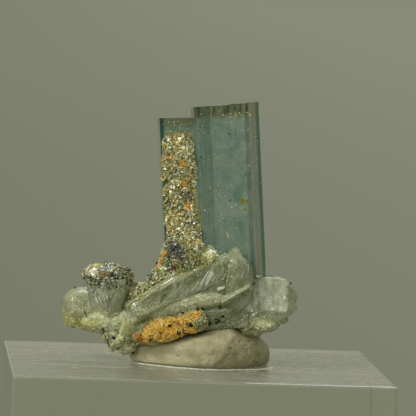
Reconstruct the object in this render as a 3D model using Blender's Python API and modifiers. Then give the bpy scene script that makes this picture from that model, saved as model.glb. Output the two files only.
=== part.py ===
"""Aquamarine with muscovite, held by a lump of putty on a clear square block.

Lengths are millimetres until MM turns them into Blender's metres. X runs to the right, Y away from the
viewer and Z up. The origin is the middle of the block's underside.
"""

import math
import random

import bmesh
import bpy
from mathutils import Matrix, Vector, noise

MM = 0.001

# Driving dimensions
BLOCK_SIDE = 50.8
BLOCK_HEIGHT = 19.0
BLOCK_EDGE = 0.35
GAP = 0.1  # between pieces that touch

# The aquamarine prisms grew in parallel: one axis and one turn of the prism faces serves them all.
BERYL_AXIS = Vector((-0.0755, 0.075, 1.0)).normalized()
BERYL_TURN = -30.0
TALL_TIP = Vector((3.16, 3.42, 54.09))
TALL_FACES = (3.55, 6.6, 4.25, 4.4, 5.98, 4.34)
TALL_LENGTH = 24.6
SHORT_TIP = Vector((-2.36, 4.25, 52.16))
SHORT_FACES = (3.15, 4.94, 3.34, 3.15, 4.94, 3.34)
SHORT_LENGTH = 26.5
SHORT_TOP = Vector((-0.0315, 0.075, 1.0))  # the shorter prism's end face, a little off square
TERRACE_RISE = 0.12  # growth steps on top of the tall prism
COLUMN_WIDTH = 1.3

# Muscovite on the shorter prism: the strip starts below the prism's top edge.
COAT_DROP = 1.75
COAT_LENGTH = 15.8
COAT_TOP_WIDTH = 5.2
COAT_FOOT_WIDTH = 5.9
COAT_DEPTH = 0.55
COAT_BACK = 0.9  # how far the strip's back lies inside the prism
COAT_SWAY = 0.25
PLATE_DISORDER = 0.55  # how far a mica plate leans away from the surface under it

# Putty: a pressed ball around its middle, with its own reach on every side
PUTTY_MIDDLE = Vector((0.9, -0.3, BLOCK_HEIGHT + 1.5))
PUTTY_RIGHT = 9.5
PUTTY_LEFT = 9.6
PUTTY_FRONT = 7.6
PUTTY_BACK = 7.4
PUTTY_CROWN = 4.2
PUTTY_CROWN_AT = 3.6  # the crown is highest this far to the right of the middle
PUTTY_CROWN_SLOPE = 0.24
PUTTY_FRONT_AT = 2.5  # the front bulges most here
PUTTY_FRONT_CURVE = 0.048
PUTTY_BELOW = 3.2
PUTTY_RIPPLE = 0.22

rng = random.Random(4)


def mesh_object(name, bm, collection):
    """The bmesh as an object of that name, scaled from millimetres to metres."""
    bmesh.ops.transform(bm, matrix=Matrix.Scale(MM, 4), verts=bm.verts)
    bmesh.ops.recalc_face_normals(bm, faces=bm.faces)
    mesh = bpy.data.meshes.new(name)
    bm.to_mesh(mesh)
    bm.free()
    obj = bpy.data.objects.new(name, mesh)
    collection.objects.link(obj)
    return obj


def make_collection(name):
    collection = bpy.data.collections.new(name)
    bpy.context.scene.collection.children.link(collection)
    return collection


def hexagon(distances, turn):
    """Corners of a six-sided section whose sides lie at these distances from the axis, 60 degrees apart.

    Side 0 looks towards -Y turned by `turn` degrees, and the sides run anticlockwise seen from above.
    """
    corners = []
    for i, distance in enumerate(distances):
        angle = math.radians(turn + 60 * i)
        outward = Vector((math.sin(angle), -math.cos(angle)))
        along = Vector((math.cos(angle), math.sin(angle)))
        following = distances[(i + 1) % 6]
        reach = (following - distance * 0.5) / math.sin(math.radians(60))
        corners.append(outward * distance + along * reach)
    return corners


def cut_off(bm, point, outward):
    """Takes away what lies beyond the plane, and closes the cut."""
    parts = bm.verts[:] + bm.edges[:] + bm.faces[:]
    done = bmesh.ops.bisect_plane(
        bm, geom=parts, plane_co=point, plane_no=outward, clear_outer=True, dist=1e-5
    )
    edges = [e for e in done["geom_cut"] if isinstance(e, bmesh.types.BMEdge)]
    if edges:
        bmesh.ops.edgeloop_fill(bm, edges=edges)


def crystal(tip, axis, turn, faces, length, foot_scale=1.0, cuts=(), grow=0.0):
    """A six-sided prism that hangs from its tip against its axis.

    `faces` are the distances of its sides from the axis, `foot_scale` narrows the foot, and each cut is a
    point and an outward direction in the object's own frame. `grow` moves every face outwards.
    """
    bm = bmesh.new()
    bmesh.ops.create_cone(bm, cap_ends=True, segments=6, radius1=1.0, radius2=1.0, depth=1.0)
    corners = hexagon([d + grow for d in faces], turn)
    for vert in bm.verts:
        angle = math.degrees(math.atan2(vert.co.y, vert.co.x))
        corner = corners[int(((angle + 375) % 360) // 60)]
        top = vert.co.z > 0
        scale = 1.0 if top else foot_scale
        vert.co = Vector((corner.x * scale, corner.y * scale, grow if top else -length - grow))
    axis = Vector(axis).normalized()
    bmesh.ops.rotate(bm, matrix=Vector((0, 0, 1)).rotation_difference(axis).to_matrix(), verts=bm.verts)
    bmesh.ops.translate(bm, vec=tip, verts=bm.verts)
    for point, outward in cuts:
        outward = Vector(outward).normalized()
        cut_off(bm, Vector(point) + outward * grow, outward)
    bmesh.ops.recalc_face_normals(bm, faces=bm.faces)
    return bm


def lump(centre, radii, rough, seed, detail=3, grow=0.0):
    """A rounded grainy mass: a sphere stretched to the radii, its surface pushed in and out by noise."""
    bm = bmesh.new()
    bmesh.ops.create_icosphere(bm, subdivisions=detail, radius=1.0)
    offset = Vector((seed * 3.7, seed * 1.3, seed * 7.1))
    for vert in bm.verts:
        direction = vert.co.copy()
        push = 1 + rough * noise.noise(direction * 2.2 + offset)
        vert.co = Vector(direction[k] * (radii[k] * push + grow) for k in range(3))
    bmesh.ops.translate(bm, vec=centre, verts=bm.verts)
    return bm


def biggest_body(obj):
    """Deletes the crumbs that a cut leaves beside the main body."""
    bm = bmesh.new()
    bm.from_mesh(obj.data)
    left = set(bm.verts)
    bodies = []
    while left:
        body = set()
        queue = [left.pop()]
        while queue:
            vert = queue.pop()
            body.add(vert)
            for edge in vert.link_edges:
                other = edge.other_vert(vert)
                if other in left:
                    left.remove(other)
                    queue.append(other)
        bodies.append(body)
    keep = max(bodies, key=len)
    bmesh.ops.delete(bm, geom=[v for v in bm.verts if v not in keep], context="VERTS")
    bm.to_mesh(obj.data)
    bm.free()


def combine(name, pieces, cutters, collection, solver="EXACT"):
    """One solid: the pieces joined, and then the cutters taken away. Each piece and cutter is a bmesh."""
    obj = mesh_object(name, pieces[0], collection)
    helpers = []
    for operation, shapes in (("UNION", pieces[1:]), ("DIFFERENCE", cutters)):
        for shape in shapes:
            helper = mesh_object(name + "_helper", shape, tools)
            helper.hide_render = True
            helper.display_type = "WIRE"
            helpers.append(helper)
            modifier = obj.modifiers.new(operation.title(), "BOOLEAN")
            modifier.operation = operation
            modifier.solver = solver
            modifier.object = helper
    bpy.context.view_layer.update()
    evaluated = obj.evaluated_get(bpy.context.evaluated_depsgraph_get())
    mesh = bpy.data.meshes.new_from_object(evaluated)
    obj.modifiers.clear()
    obj.data = mesh
    for helper in helpers:
        bpy.data.objects.remove(helper)
    biggest_body(obj)
    return obj


def finish(obj, colour, roughness, metallic=0.0, see_through=0.0, ior=1.5):
    material = bpy.data.materials.new(obj.name)
    material.use_nodes = True
    shader = material.node_tree.nodes["Principled BSDF"]
    shader.inputs["Base Color"].default_value = (*colour, 1.0)
    shader.inputs["Roughness"].default_value = roughness
    shader.inputs["Metallic"].default_value = metallic
    shader.inputs["Transmission Weight"].default_value = see_through
    shader.inputs["IOR"].default_value = ior
    obj.data.materials.clear()
    obj.data.materials.append(material)


def aquamarine_parts(grow=0.0):
    """The tall prism with the two growth steps on its top, and the shorter prism at its left."""
    axis = BERYL_AXIS
    step = axis * TERRACE_RISE
    side = Vector((math.sin(math.radians(BERYL_TURN + 120)), -math.cos(math.radians(BERYL_TURN + 120)), 0))
    terrace_faces = [d - 0.12 for d in TALL_FACES]
    column_faces = [d + 0.04 for d in TALL_FACES]
    column_at = TALL_TIP + side * (TALL_FACES[2] - COLUMN_WIDTH)
    terrace_at = TALL_TIP + side * 0.4
    return [
        crystal(TALL_TIP, axis, BERYL_TURN, TALL_FACES, TALL_LENGTH, grow=grow),
        crystal(
            TALL_TIP + step, axis, BERYL_TURN, terrace_faces, 3.0, cuts=[(terrace_at, -side)], grow=grow
        ),
        crystal(
            TALL_TIP + 2 * step,
            axis,
            BERYL_TURN,
            column_faces,
            TALL_LENGTH - 2,
            cuts=[(column_at, -side)],
            grow=grow,
        ),
        crystal(
            SHORT_TIP + axis,
            axis,
            BERYL_TURN,
            SHORT_FACES,
            SHORT_LENGTH + 1,
            cuts=[(SHORT_TIP, SHORT_TOP)],
            grow=grow,
        ),
    ]


def cluster_parts(grow=0.0):
    """The pale hazy crystals round the foot, and the grainy mass that they grew from."""
    even = (1.0, 0.92, 1.05, 0.97, 1.08, 0.95)

    def sides(radius):
        return [radius * k for k in even]

    return [
        # Grainy mass, from left to right
        lump((-10.5, -1.0, 23.2), (2.5, 3.0, 2.7), 0.22, 1, grow=grow),
        lump((-4.5, -0.4, 24.6), (5.6, 4.9, 3.6), 0.16, 2, grow=grow),
        lump((2.4, 0.6, 25.4), (5.4, 5.0, 4.0), 0.16, 3, grow=grow),
        lump((7.2, -0.6, 25.0), (2.6, 3.6, 2.7), 0.18, 4, grow=grow),
        lump((-2.4, 0.9, 29.2), (4.6, 4.2, 4.9), 0.18, 5, grow=grow),
        lump((-8.0, 1.2, 26.8), (3.6, 3.6, 3.0), 0.2, 6, grow=grow),
        lump((4.8, 3.4, 27.6), (6.2, 5.2, 4.4), 0.18, 7, grow=grow),
        lump((-1.8, 4.6, 26.8), (4.4, 4.6, 3.6), 0.18, 9, grow=grow),
        lump((-9.4, -1.5, 21.1), (1.4, 1.6, 1.2), 0.2, 8, detail=2, grow=grow),
        # Long clear crystal that slopes down to the left
        crystal(
            (-9.7, -5.0, 26.5),
            (-13.2, -3.0, -6.4),
            10,
            sides(2.15),
            14.5,
            cuts=[((-9.3, -5.0, 27.4), (-0.6, -0.2, 0.8)), ((-9.4, -5.6, 25.6), (-0.7, -0.5, -0.5))],
            grow=grow,
        ),
        # Small prisms that point away from the viewer
        crystal((-3.6, 7.6, 30.6), (-0.3, 0.7, 1.0), 8, sides(1.5), 6.5, grow=grow),
        crystal((1.6, 9.4, 29.6), (0.1, 1.0, 0.6), 25, sides(1.3), 6.0, grow=grow),
        crystal((8.9, 6.6, 29.2), (0.6, 0.6, 0.8), 14, sides(1.25), 6.0, grow=grow),
        crystal((-8.2, 6.4, 27.0), (-0.6, 0.9, 0.3), 33, sides(1.5), 6.5, grow=grow),
        # Hazy pointed crystal before the tall prism
        crystal(
            (4.4, -4.6, 35.1),
            (-0.03, -0.2, 1.0),
            20,
            sides(2.3),
            9.0,
            cuts=[
                ((4.0, -4.8, 34.6), (-0.8, -0.1, 0.62)),
                ((4.9, -4.8, 34.5), (0.75, -0.1, 0.6)),
                ((4.4, -6.0, 34.2), (0.0, -0.9, 0.45)),
            ],
            grow=grow,
        ),
        # Clear lens-shaped crystal
        crystal(
            (7.6, -5.1, 30.6),
            (0.82, 0.1, 0.5),
            5,
            (1.5, 0.85, 0.9, 1.4, 0.85, 0.9),
            5.4,
            foot_scale=0.6,
            cuts=[((7.3, -5.2, 30.5), (0.9, -0.4, 0.2))],
            grow=grow,
        ),
        # Dark clear crystal under it
        crystal((7.0, -2.4, 26.6), (1.0, -0.1, 0.12), 12, sides(2.75), 6.6, grow=grow),
        # Stubby pale prism at the right
        crystal(
            (13.8, -1.9, 27.5),
            (1.0, -0.1, 0.0),
            28,
            sides(3.4),
            8.6,
            cuts=[
                ((12.7, -4.2, 28.5), (0.93, -0.36, 0.06)),
                ((13.1, -1.5, 30.0), (0.72, 0.0, 0.7)),
                ((11.4, -1.9, 25.1), (0.56, 0.0, -0.83)),
                ((9.5, -1.9, 31.0), (0.0, 0.0, 1.0)),
            ],
            grow=grow,
        ),
        # Barrel-shaped prism at the left, wider at its top
        crystal(
            (-12.05, -2.2, 30.7),
            (-0.04, -0.06, 1.0),
            15,
            sides(3.05),
            7.6,
            foot_scale=0.5,
            grow=grow,
        ),
        crystal((-8.5, 0.6, 30.0), (0.05, 0.0, 1.0), 40, sides(0.55), 4.0, grow=grow),
        # Short pale crystal at the far left
        crystal(
            (-18.45, 2.7, 25.9),
            (-1.0, -0.04, 0.08),
            22,
            sides(3.2),
            8.5,
            cuts=[
                ((-18.05, 2.8, 26.0), (-0.97, -0.22, 0.0)),
                ((-17.2, 2.8, 28.3), (-0.68, 0.0, 0.74)),
                ((-16.5, 2.8, 23.0), (-0.25, 0.0, -0.97)),
            ],
            grow=grow,
        ),
    ]


def putty_part(grow=0.0):
    """A pressed lump of putty: a squared-off sphere with its own height and reach on every side."""
    bm = bmesh.new()
    bmesh.ops.create_uvsphere(bm, u_segments=40, v_segments=20, radius=1.0)
    for vert in bm.verts:
        x, y, z = vert.co
        ring = math.hypot(x, y) ** 0.62  # below 1, so the sides stand up steeply
        angle = math.atan2(y, x)
        wide = math.copysign(abs(math.cos(angle)) ** 0.8, x) * ring
        deep = math.copysign(abs(math.sin(angle)) ** 0.8, y) * ring
        reach = PUTTY_RIGHT if x > 0 else PUTTY_LEFT
        crown = PUTTY_CROWN - PUTTY_CROWN_SLOPE * abs(wide * reach - PUTTY_CROWN_AT)
        front = PUTTY_FRONT - PUTTY_FRONT_CURVE * (wide * reach - PUTTY_FRONT_AT) ** 2
        height = crown if z > 0 else -PUTTY_BELOW
        ripple = PUTTY_RIPPLE * noise.noise(Vector((wide * 2.1, deep * 2.1, z * 1.6 + 5.0)))
        vert.co = PUTTY_MIDDLE + Vector(
            (
                wide * (reach + ripple + grow),
                deep * ((front if y < 0 else PUTTY_BACK) + ripple + grow),
                abs(z) ** 0.72 * (height + math.copysign(ripple + grow, z)),
            )
        )
    cut_off(bm, Vector((0, 0, BLOCK_HEIGHT + GAP - grow)), Vector((0, 0, -1)))
    return bm


def plates(spots, size, thickness):
    """Six-sided mica plates, one at each spot, each turned at random about the direction that it faces."""
    made = []
    for place, facing in spots:
        bm = bmesh.new()
        radius = size * rng.uniform(0.7, 1.25)
        depth = thickness * rng.uniform(0.8, 1.5)
        bmesh.ops.create_cone(
            bm, cap_ends=True, segments=6, radius1=radius, radius2=radius * 0.92, depth=depth
        )
        loose = Vector(rng.gauss(0, PLATE_DISORDER) for _ in range(3))
        lie = Vector((0, 0, 1)).rotation_difference((facing + loose).normalized()).to_matrix()
        spin = Matrix.Rotation(rng.uniform(0, 1), 3, "Z")
        bmesh.ops.rotate(bm, matrix=lie @ spin, verts=bm.verts)
        bmesh.ops.translate(bm, vec=place, verts=bm.verts)
        made.append(bm)
    return made


def spots_on(bm, count, facing, lift=0.0):
    """Places spread over the faces that look the given way, each with the face's own direction."""
    faces = [f for f in bm.faces if f.normal.dot(facing) > 0.25]
    chosen = rng.choices(faces, weights=[f.calc_area() for f in faces], k=count)
    return [(f.calc_center_median() + f.normal * lift, f.normal.copy()) for f in chosen]


def coat_strip():
    """The strip of mica down the front of the shorter prism, a lumpy sheet sunk into its front face."""
    bm = bmesh.new()
    bmesh.ops.create_grid(bm, x_segments=5, y_segments=16, size=0.5)
    for vert in bm.verts:
        across, up = vert.co.x + 0.5, vert.co.y - 0.5
        edge = min(across, 1 - across, -up + 0.02) * 6
        rise = COAT_DEPTH * (min(1.0, edge) + 0.5 * noise.noise(Vector((across * 5, up * 17, 2.0))))
        sway = COAT_SWAY * noise.noise(Vector((0.0, up * 6, 9.0)))
        width = COAT_TOP_WIDTH - (COAT_FOOT_WIDTH - COAT_TOP_WIDTH) * up
        vert.co = Vector((across * width + sway, -rise, up * COAT_LENGTH))
    back = bmesh.ops.extrude_face_region(bm, geom=bm.faces[:])
    for vert in back["geom"]:
        if isinstance(vert, bmesh.types.BMVert):
            vert.co.y = COAT_BACK
    bmesh.ops.recalc_face_normals(bm, faces=bm.faces)
    left_front = hexagon(SHORT_FACES, BERYL_TURN)[5]
    angle = math.radians(BERYL_TURN)
    bmesh.ops.rotate(bm, matrix=Matrix.Rotation(angle, 3, "Z"), verts=bm.verts)
    bmesh.ops.translate(bm, vec=(left_front.x, left_front.y, -COAT_DROP), verts=bm.verts)
    lean = Vector((0, 0, 1)).rotation_difference(BERYL_AXIS).to_matrix()
    bmesh.ops.rotate(bm, matrix=lean, verts=bm.verts)
    bmesh.ops.translate(bm, vec=SHORT_TIP, verts=bm.verts)
    return bm


for old in list(bpy.data.objects):
    bpy.data.objects.remove(old)
specimen = make_collection("aquamarine_with_muscovite")
tools = make_collection("cutters")
tools.hide_render = True

bpy.ops.mesh.primitive_cube_add(size=1)
block = bpy.context.object
block.name = "acrylic_block"
block.data.transform(Matrix.Diagonal((BLOCK_SIDE * MM, BLOCK_SIDE * MM, BLOCK_HEIGHT * MM, 1)))
block.location = (0, 0, BLOCK_HEIGHT / 2 * MM)
edges = block.modifiers.new("Polished edge", "BEVEL")
edges.width = BLOCK_EDGE * MM
edges.segments = 2
for holder in block.users_collection:
    holder.objects.unlink(block)
specimen.objects.link(block)

aquamarine = combine("aquamarine", aquamarine_parts(), [], specimen)
cluster = combine("pale_crystal_cluster", cluster_parts(), aquamarine_parts(GAP), specimen)
putty = combine("putty", [putty_part()], cluster_parts(GAP) + aquamarine_parts(GAP), specimen)

strip = coat_strip()
slope = [
    lump((-1.9, -2.6, 33.4), (3.3, 3.0, 3.6), 0.2, 11, detail=2),
    lump((-3.7, -3.0, 30.2), (3.2, 2.4, 2.6), 0.2, 12, detail=2),
    lump((-6.8, -3.0, 28.0), (2.6, 2.0, 1.9), 0.2, 13, detail=2),
    lump((1.2, -3.6, 33.3), (1.9, 1.9, 1.5), 0.2, 14, detail=2),
]
forward = Vector((-0.2, -1.0, 0.3)).normalized()
flakes = plates(spots_on(strip, 46, forward), 0.5, 0.2)
for mass, count in zip(slope, (20, 16, 10, 7)):
    flakes += plates(spots_on(mass, count, forward), 0.55, 0.2)
coat = combine(
    "muscovite_coat",
    [strip] + slope + flakes,
    aquamarine_parts(GAP) + cluster_parts(GAP),
    specimen,
    solver="MANIFOLD",
)

dome = lump((-12.2, -2.0, 30.6), (3.6, 3.3, 1.75), 0.1, 21, detail=2)
cut_off(dome, Vector((-12.2, -2.0, 29.5)), Vector((-0.1, 0.0, -1.0)))
upward = Vector((0.0, -0.4, 1.0)).normalized()
cap = combine(
    "muscovite_cap",
    [dome] + plates(spots_on(dome, 34, upward), 0.5, 0.2),
    cluster_parts(GAP),
    specimen,
    solver="MANIFOLD",
)

patches = [
    lump((-4.4, -4.9, 24.1), (2.9, 1.3, 1.9), 0.2, 31),
    lump((-0.9, -4.9, 25.2), (2.3, 1.2, 1.7), 0.2, 32),
    lump((-7.2, -4.3, 22.7), (1.6, 1.2, 0.9), 0.2, 33, detail=2),
]
crust = combine(
    "iron_stained_crust", patches, cluster_parts(GAP) + [putty_part(GAP)], specimen
)

finish(block, (0.95, 0.96, 0.94), 0.03, see_through=1.0, ior=1.49)
finish(aquamarine, (0.35, 0.52, 0.42), 0.08, see_through=0.8, ior=1.577)
finish(cluster, (0.5, 0.53, 0.36), 0.3, see_through=0.4, ior=1.55)
finish(putty, (0.36, 0.33, 0.2), 0.6)
finish(coat, (0.45, 0.43, 0.2), 0.25)
finish(cap, (0.42, 0.4, 0.24), 0.25)
finish(crust, (0.5, 0.27, 0.04), 0.6)
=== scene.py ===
import math
from functools import partial

import bpy
import numpy as np
from mathutils import Matrix, Vector
from mathutils.bvhtree import BVHTree


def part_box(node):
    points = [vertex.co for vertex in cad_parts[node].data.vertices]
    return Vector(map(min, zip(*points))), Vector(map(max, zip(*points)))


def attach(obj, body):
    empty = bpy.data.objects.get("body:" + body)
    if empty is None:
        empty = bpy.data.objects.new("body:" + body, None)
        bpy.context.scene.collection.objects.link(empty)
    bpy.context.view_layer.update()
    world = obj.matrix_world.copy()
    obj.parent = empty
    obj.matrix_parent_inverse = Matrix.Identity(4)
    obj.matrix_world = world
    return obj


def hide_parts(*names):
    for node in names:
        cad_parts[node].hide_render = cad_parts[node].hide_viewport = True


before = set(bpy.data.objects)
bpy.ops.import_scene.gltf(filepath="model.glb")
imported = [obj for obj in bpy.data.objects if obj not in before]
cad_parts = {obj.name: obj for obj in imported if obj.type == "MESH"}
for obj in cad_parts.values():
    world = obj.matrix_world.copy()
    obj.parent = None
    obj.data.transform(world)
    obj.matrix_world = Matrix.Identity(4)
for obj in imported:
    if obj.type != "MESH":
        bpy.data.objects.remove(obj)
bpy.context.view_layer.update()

mm = 0.001  # every size below is in millimetres until it goes into a mesh
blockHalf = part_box("acrylic_block")[1][0] / mm
blockHeight = (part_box("acrylic_block")[1][2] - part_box("acrylic_block")[0][2]) / mm


# Small tools

# sRGB hex to the linear red, green, blue and alpha that a shader takes
def hexColour(text):
    values = [int(text[i:i + 2], 16) / 255 for i in (1, 3, 5)]
    return (*(v / 12.92 if v <= 0.04045 else ((v + 0.055) / 1.055) ** 2.4 for v in values), 1.0)


# The same without alpha, as an array
def tint(text):
    return np.array(hexColour(text)[:3])


# Gives a node its settings and inputs by name. A node or a socket is linked in, and a hex text is a colour.
def setNode(node, settings):
    for key, value in settings.items():
        if isinstance(value, bpy.types.Node):
            value = next(socket for socket in value.outputs if socket.enabled)
        if isinstance(value, bpy.types.NodeSocket):
            node.id_data.links.new(value, node.inputs[key])
        elif key == "stops":  # colour ramp: position and colour
            ramp = node.color_ramp
            while len(ramp.elements) < len(value):
                ramp.elements.new(0.5)
            for element, (position, text) in zip(ramp.elements, value):
                element.position, element.color = position, hexColour(text)
        elif key in dir(node):
            setattr(node, key, value)
        else:
            node.inputs[key].default_value = hexColour(value) if isinstance(value, str) else value
    return node


# Adds a node: settings and inputs by name, then plain values for the inputs that show, in their order
def addNode(tree, kind, *values, **settings):
    node = setNode(tree.nodes.new("ShaderNode" + kind), settings)
    shown = [k for k, socket in enumerate(node.inputs) if socket.enabled]
    return setNode(node, dict(zip(shown, values)))


# A new material, a way to add nodes to it, its shader and its object coordinates. Inside it can absorb light:
# `absorb` is the colour that comes through and how strongly per metre.
def newMaterial(name, absorb=None):
    material = bpy.data.materials.new(name)
    material.use_nodes = True
    nodes, add = material.node_tree.nodes, partial(addNode, material.node_tree)
    if absorb:
        setNode(nodes["Material Output"], {"Volume": add("VolumeAbsorption", *absorb)})
    return material, add, nodes["Principled BSDF"], add("TexCoord").outputs["Object"]


# One repeatable number between -1 and 1 for each whole-number cell, by multiplying, mixing and shifting
def hashValues(cells, seed):
    with np.errstate(over="ignore"):
        n = cells[..., 0] * 73856093 ^ cells[..., 1] * 19349663 ^ cells[..., 2] * 83492791 ^ (seed + 7) * 26544357
        n = (n ^ (n >> 13)) * 1274126177
        n = n ^ (n >> 16)
        n = (n * 668265263) ^ (n >> 11)
    return (n & 0xFFFF) / 32767.5 - 1


# Smooth noise between -1 and 1: random values at the corners of cubes of that size, blended by smooth steps
def softNoise(points, size, seed=0):
    scaled = points / size
    cell = np.floor(scaled).astype(np.int64)
    part = scaled - cell
    part = part * part * (3 - 2 * part)
    total = np.zeros(points.shape[:-1])
    for corner in np.ndindex(2, 2, 2):
        weight = np.prod(np.where(np.array(corner) == 1, part, 1 - part), axis=-1)
        total += weight * hashValues(cell + np.array(corner), seed)
    return total


# Smooth noise summed over layers, each half the size and half the height of the one before
def layeredNoise(points, size, layers, seed=0):
    return sum(softNoise(points, size / 2 ** k, seed + 31 * k) / 2 ** k for k in range(layers))


# Distance to the nearest of scattered points, one in each cube of that size, as a share of the size
def grainDistance(points, size, seed=0):
    scaled = points / size
    cell = np.floor(scaled).astype(np.int64)
    nearest = np.full(points.shape[:-1], 9.0)
    for step in np.ndindex(3, 3, 3):
        here = cell + np.array(step) - 1
        spot = here + 0.5 + 0.42 * np.stack([hashValues(here, seed + k) for k in (1, 2, 3)], axis=-1)
        nearest = np.minimum(nearest, np.linalg.norm(scaled - spot, axis=-1))
    return nearest


# A mesh object from arrays: points in millimetres, and faces as one run of corners with a size for each
def fillMesh(name, points, loops, sizes, material, smooth=True):
    mesh = bpy.data.meshes.new(name)
    mesh.vertices.add(len(points))
    mesh.vertices.foreach_set("co", (np.asarray(points, np.float64) * mm).astype(np.float32).ravel())
    mesh.loops.add(len(loops))
    mesh.loops.foreach_set("vertex_index", np.asarray(loops, np.int32))
    mesh.polygons.add(len(sizes))
    mesh.polygons.foreach_set("loop_start", np.concatenate([[0], np.cumsum(sizes)[:-1]]).astype(np.int32))
    mesh.polygons.foreach_set("loop_total", np.asarray(sizes, np.int32))
    mesh.polygons.foreach_set("use_smooth", np.full(len(sizes), smooth))
    mesh.update(calc_edges=True)
    mesh.validate()
    mesh.materials.append(material)
    obj = bpy.data.objects.new(name, mesh)
    bpy.context.scene.collection.objects.link(obj)
    return obj


# Points and faces of a surface whose rings run round from one pole to the other. `rings` is an array of ring,
# place on the ring, and x, y, z. The first and the last ring are poles: each becomes the point at its middle.
def closedSurface(rings):
    count, around = rings.shape[:2]
    points = np.concatenate([rings[1:-1].reshape(-1, 3), [rings[0].mean(axis=0), rings[-1].mean(axis=0)]])
    here = np.arange(around)
    following = (here + 1) % around
    row = (np.arange(count - 3) * around)[:, None]
    quads = np.stack([row + here, row + following, row + around + following, row + around + here], axis=-1)
    last = (count - 3) * around
    low = np.stack([np.full(around, len(points) - 2), following, here], axis=-1)
    high = np.stack([last + here, last + following, np.full(around, len(points) - 1)], axis=-1)
    loops = np.concatenate([quads.ravel(), low.ravel(), high.ravel()])
    return points, loops, np.concatenate([np.full(quads.size // 4, 4), np.full(2 * around, 3)])


# Several (points, loops, sizes) as one
def joinShapes(shapes):
    offsets = np.cumsum([0] + [len(points) for points, _, _ in shapes[:-1]])
    loops = [shape[1] + offset for shape, offset in zip(shapes, offsets)]
    return tuple(map(np.concatenate, ([shape[0] for shape in shapes], loops, [shape[2] for shape in shapes])))


# The piece rides with the specimen and stands for the given solids, which are hidden.
def settle(obj, slot, *nodes):
    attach(obj, "root")
    if nodes:
        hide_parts(*nodes)


# A CAD solid keeps its shape and gets a better finish.
def refinish(nodeName, material):
    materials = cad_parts[nodeName].data.materials
    materials.clear()
    materials.append(material)


# Camera: the photograph's own place, found from the four corners of the block's top face

cameraPlan = dict(
    place=(-43.23, -657.96, 62.63 + blockHeight),
    turn=3.862,  # degrees to the right of straight ahead
    down=3.590,
    roll=2.074,
    lens=419.25,
)


def makeCamera(plan):
    turn, down, roll = (math.radians(plan[k]) for k in ("turn", "down", "roll"))
    ahead = Vector((math.sin(turn) * math.cos(down), math.cos(turn) * math.cos(down), -math.sin(down)))
    right = ahead.cross(Vector((0, 0, 1))).normalized()
    up = right.cross(ahead)
    rolledRight = right * math.cos(roll) + up * math.sin(roll)
    rolledUp = up * math.cos(roll) - right * math.sin(roll)
    data = bpy.data.cameras.new("photoCamera")
    data.lens, data.sensor_width = plan["lens"], 36
    data.clip_start, data.clip_end = 0.05, 30
    camera = bpy.data.objects.new("photoCamera", data)
    axes = Matrix((rolledRight, rolledUp, -ahead)).transposed()
    camera.matrix_world = Matrix.Translation(Vector(plan["place"]) * mm) @ axes.to_4x4()
    bpy.context.scene.collection.objects.link(camera)
    bpy.context.scene.camera = camera
    return rolledRight, rolledUp, ahead


photoRight, photoUp, photoAhead = makeCamera(cameraPlan)
print("camera placed")


# Studio: a large pale sage floor, a plain sky that brightens overhead, and three broad soft suns

studioPlan = dict(
    # painted light on the floor: its colour near, far and to the right, and where that grading runs
    floorNear="#6d7062",
    floorFar="#74766a",
    floorRight="#7e8174",
    farAt=1.6,  # metres, as the next three are
    rightFrom=-0.05,
    rightAt=0.25,
    floorRadius=9,
    floorThick=10,
    # painted light under the block: how strongly the paper glows there, and in what colour
    underGlow=0.4,
    underColour="#8c8f7c",
    # darker a little above the horizon, as in a studio lit from overhead
    skyStops=[
        (0, "#84876f"), (0.04, "#b1b39b"), (0.1, "#a9ab93"), (0.17, "#7d7f6c"), (0.42, "#74766a"),
        (0.6, "#dadace"), (1, "#fbfbf2"),
    ],
    # name, where from, degrees across, strength, colour
    suns=[
        ("keySun", (-0.8, -0.35, 0.75), 20, 1.5, "#fffdf2"), ("fillSun", (-0.45, -0.9, 0.5), 40, 0.7, "#fbfbff"),
        ("backSun", (0.35, 0.9, 0.8), 30, 0.6, "#fffef8"),
    ],
)


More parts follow.
